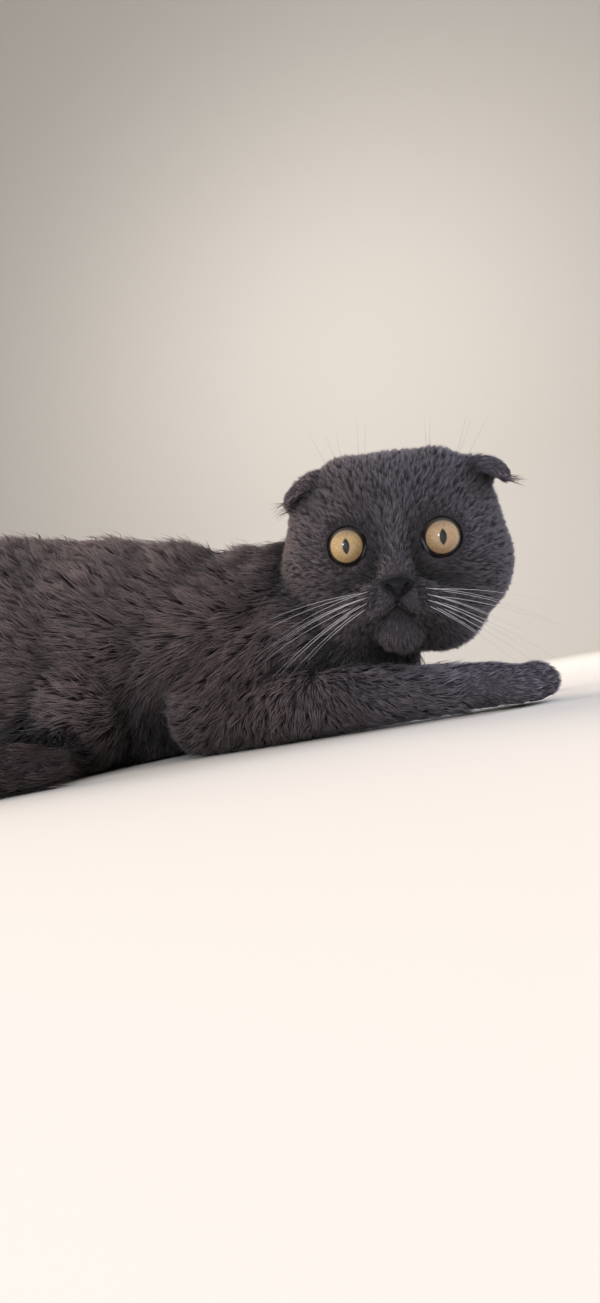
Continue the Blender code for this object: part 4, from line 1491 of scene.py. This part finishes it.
def within_limits(root, aim, reach):
    """The reach, shortened so that the tip stays inside the cat's allowed box."""
    if aim[0] > 0.05:
        reach = min(reach, (FARTHEST_X - root[0]) / aim[0])
    if aim[2] > 0.05:
        reach = min(reach, (HIGHEST_Z - root[2]) / aim[2])
    return reach


def grow_bristles(name, hairs, material, girth, droop, seed):
    """A mesh of bristles from (root, aim in the head, reach) rows."""
    mesh = bpy.data.meshes.new(name)
    mesh.from_pydata([tuple(root) for root, _, _ in hairs], [], [])
    aims = unit(turned_from_head(np.array([aim for _, aim, _ in hairs], float)))
    reaches = [within_limits(root, aim, reach) for (root, _, reach), aim in zip(hairs, aims)]
    aim_layer = mesh.attributes.new("aim", "FLOAT_VECTOR", "POINT")
    aim_layer.data.foreach_set("vector", aims.astype(np.float32).ravel())
    reach_layer = mesh.attributes.new("reach", "FLOAT", "POINT")
    reach_layer.data.foreach_set("value", np.array(reaches, np.float32))
    grown = link_object(name, mesh)
    modifier = grown.modifiers.new("bristles", "NODES")
    modifier.node_group = bristle_tree
    values = {"Girth": girth, "Droop": droop, "Seed": seed, "Material": material}
    for item in bristle_sockets:
        if item.in_out == "INPUT" and item.name in values:
            modifier[item.identifier] = values[item.name]
    finished = evaluated_mesh(grown)
    grown.modifiers.clear()
    grown.data = finished
    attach(grown, "root")
    print(name, len(hairs), "hairs,", len(read_triangles(finished)), "triangles")


whisker_material = plain_material("whisker", (0.50, 0.48, 0.50, 1), 0.4)
dark_hair_material = plain_material("dark hair", (0.035, 0.028, 0.028, 1), 0.5)
whiskers = []
for side, places in WHISKER_PLACES.items():
    for number, place in enumerate(places):
        row, step = divmod(number, WHISKERS_IN_ROW)
        slope = -0.13 - 0.15 * row + rng.normal(0, 0.06)
        forward = 0.16 - 0.10 * step + rng.normal(0, 0.08)
        if step > 0:
            whiskers.append((place, (side, slope, forward), (36 + 12 * step - 3 * row) * MM))
grow_bristles("whiskers", whiskers, whisker_material, 0.15 * MM, 0.16, 3)

BROW_REACH = 46 * MM
brows = []
for px, py, aims in (
    (352, 516, ((-0.10, 1, 0.25), (-0.45, 1, 0.2), (-0.28, 1, 0.5))),
    (361, 512, ((0.05, 1, 0.25), (0.12, 1, 0.1))),
    (428, 507, ((0.08, 1, 0.2), (-0.02, 1, 0.35))),
    (440, 505, ((0.45, 1, 0.2), (0.62, 1, 0.15), (0.30, 1, 0.4))),
):
    brows += [(seen_at(px + 2 * k, py), aim, BROW_REACH) for k, aim in enumerate(aims)]
grow_bristles("brow_hairs", brows, dark_hair_material, 0.10 * MM, -0.02, 5)

# %% [markdown]
# Short dark hairs stick out past the ears' edges. Their roots are the fur roots on the ears that lie farthest
# out.

# %% Hairs at the ears' edges
EDGE_ROOTS, EDGE_HAIRS = 160, 26

ear_roots = np.flatnonzero(part_names[root_owner] == "ear")
edge_hairs = []
for side in (-1, 1):
    on_side = ear_roots[root_in_head[ear_roots, 0] * side > 0]
    outwards = root_in_head[on_side, 0] * side - 0.6 * root_in_head[on_side, 1]
    outermost = on_side[np.argsort(-outwards)][:EDGE_ROOTS]
    for index in rng.choice(outermost, EDGE_HAIRS, replace=False):
        aim = (side, rng.normal(-0.25, 0.18), rng.normal(0.15, 0.2))
        edge_hairs.append((roots[index], aim, rng.uniform(5, 11) * MM))
grow_bristles("ear_edge_hairs", edge_hairs, dark_hair_material, 0.13 * MM, 0.08, 8)

# %% [markdown]
# ## The mouth
#
# The line below the nose and the two lips are bare dark skin in a fold. Each is a thin tube, half sunk in the
# skin, through the same points of the picture that the fur was kept clear of.

# %% The mouth
LIP_SIDES = 6


def make_tube(name, places, radii):
    """A closed tube through the places, with a flat cap at each end."""
    work = bmesh.new()
    rings = []
    for index, (place, radius) in enumerate(zip(places, radii)):
        ahead, behind = places[min(index + 1, len(places) - 1)], places[max(index - 1, 0)]
        run = (ahead - behind).normalized()
        side = run.cross(HEAD_FORWARD).normalized()
        rise = side.cross(run)
        turns = [2 * math.pi * step / LIP_SIDES for step in range(LIP_SIDES)]
        round_place = [place + (side * math.cos(t) + rise * math.sin(t)) * radius for t in turns]
        rings.append([work.verts.new(point) for point in round_place])
    for near, far in zip(rings, rings[1:]):
        for step in range(LIP_SIDES):
            after = (step + 1) % LIP_SIDES
            work.faces.new((near[step], near[after], far[after], far[step]))
    for ring in (rings[0][::-1], rings[-1]):
        work.faces.new(ring)
    bmesh.ops.recalc_face_normals(work, faces=work.faces)
    mesh = bpy.data.meshes.new(name)
    work.to_mesh(mesh)
    work.free()
    mesh.shade_smooth()
    return mesh


MOUTH_LINES = (  # name, line, thickest radius in mm
    ("philtrum", PHILTRUM, 0.35),
    ("lip_right", LIPS[0], 0.75),
    ("lip_left", LIPS[1], 0.75),
)
lip_material = plain_material("lip", (0.006, 0.005, 0.006, 1), 0.5)
for name, line, thick in MOUTH_LINES:
    places = on_skin(line)
    radii = [max(0.15, thick * (1 - 0.75 * k / (len(places) - 1))) * MM for k in range(len(places))]
    lip = link_object(name, make_tube(name, places, radii))
    lip.data.materials.append(lip_material)
    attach(lip, "root")
print("mouth lines:", len(MOUTH_LINES))
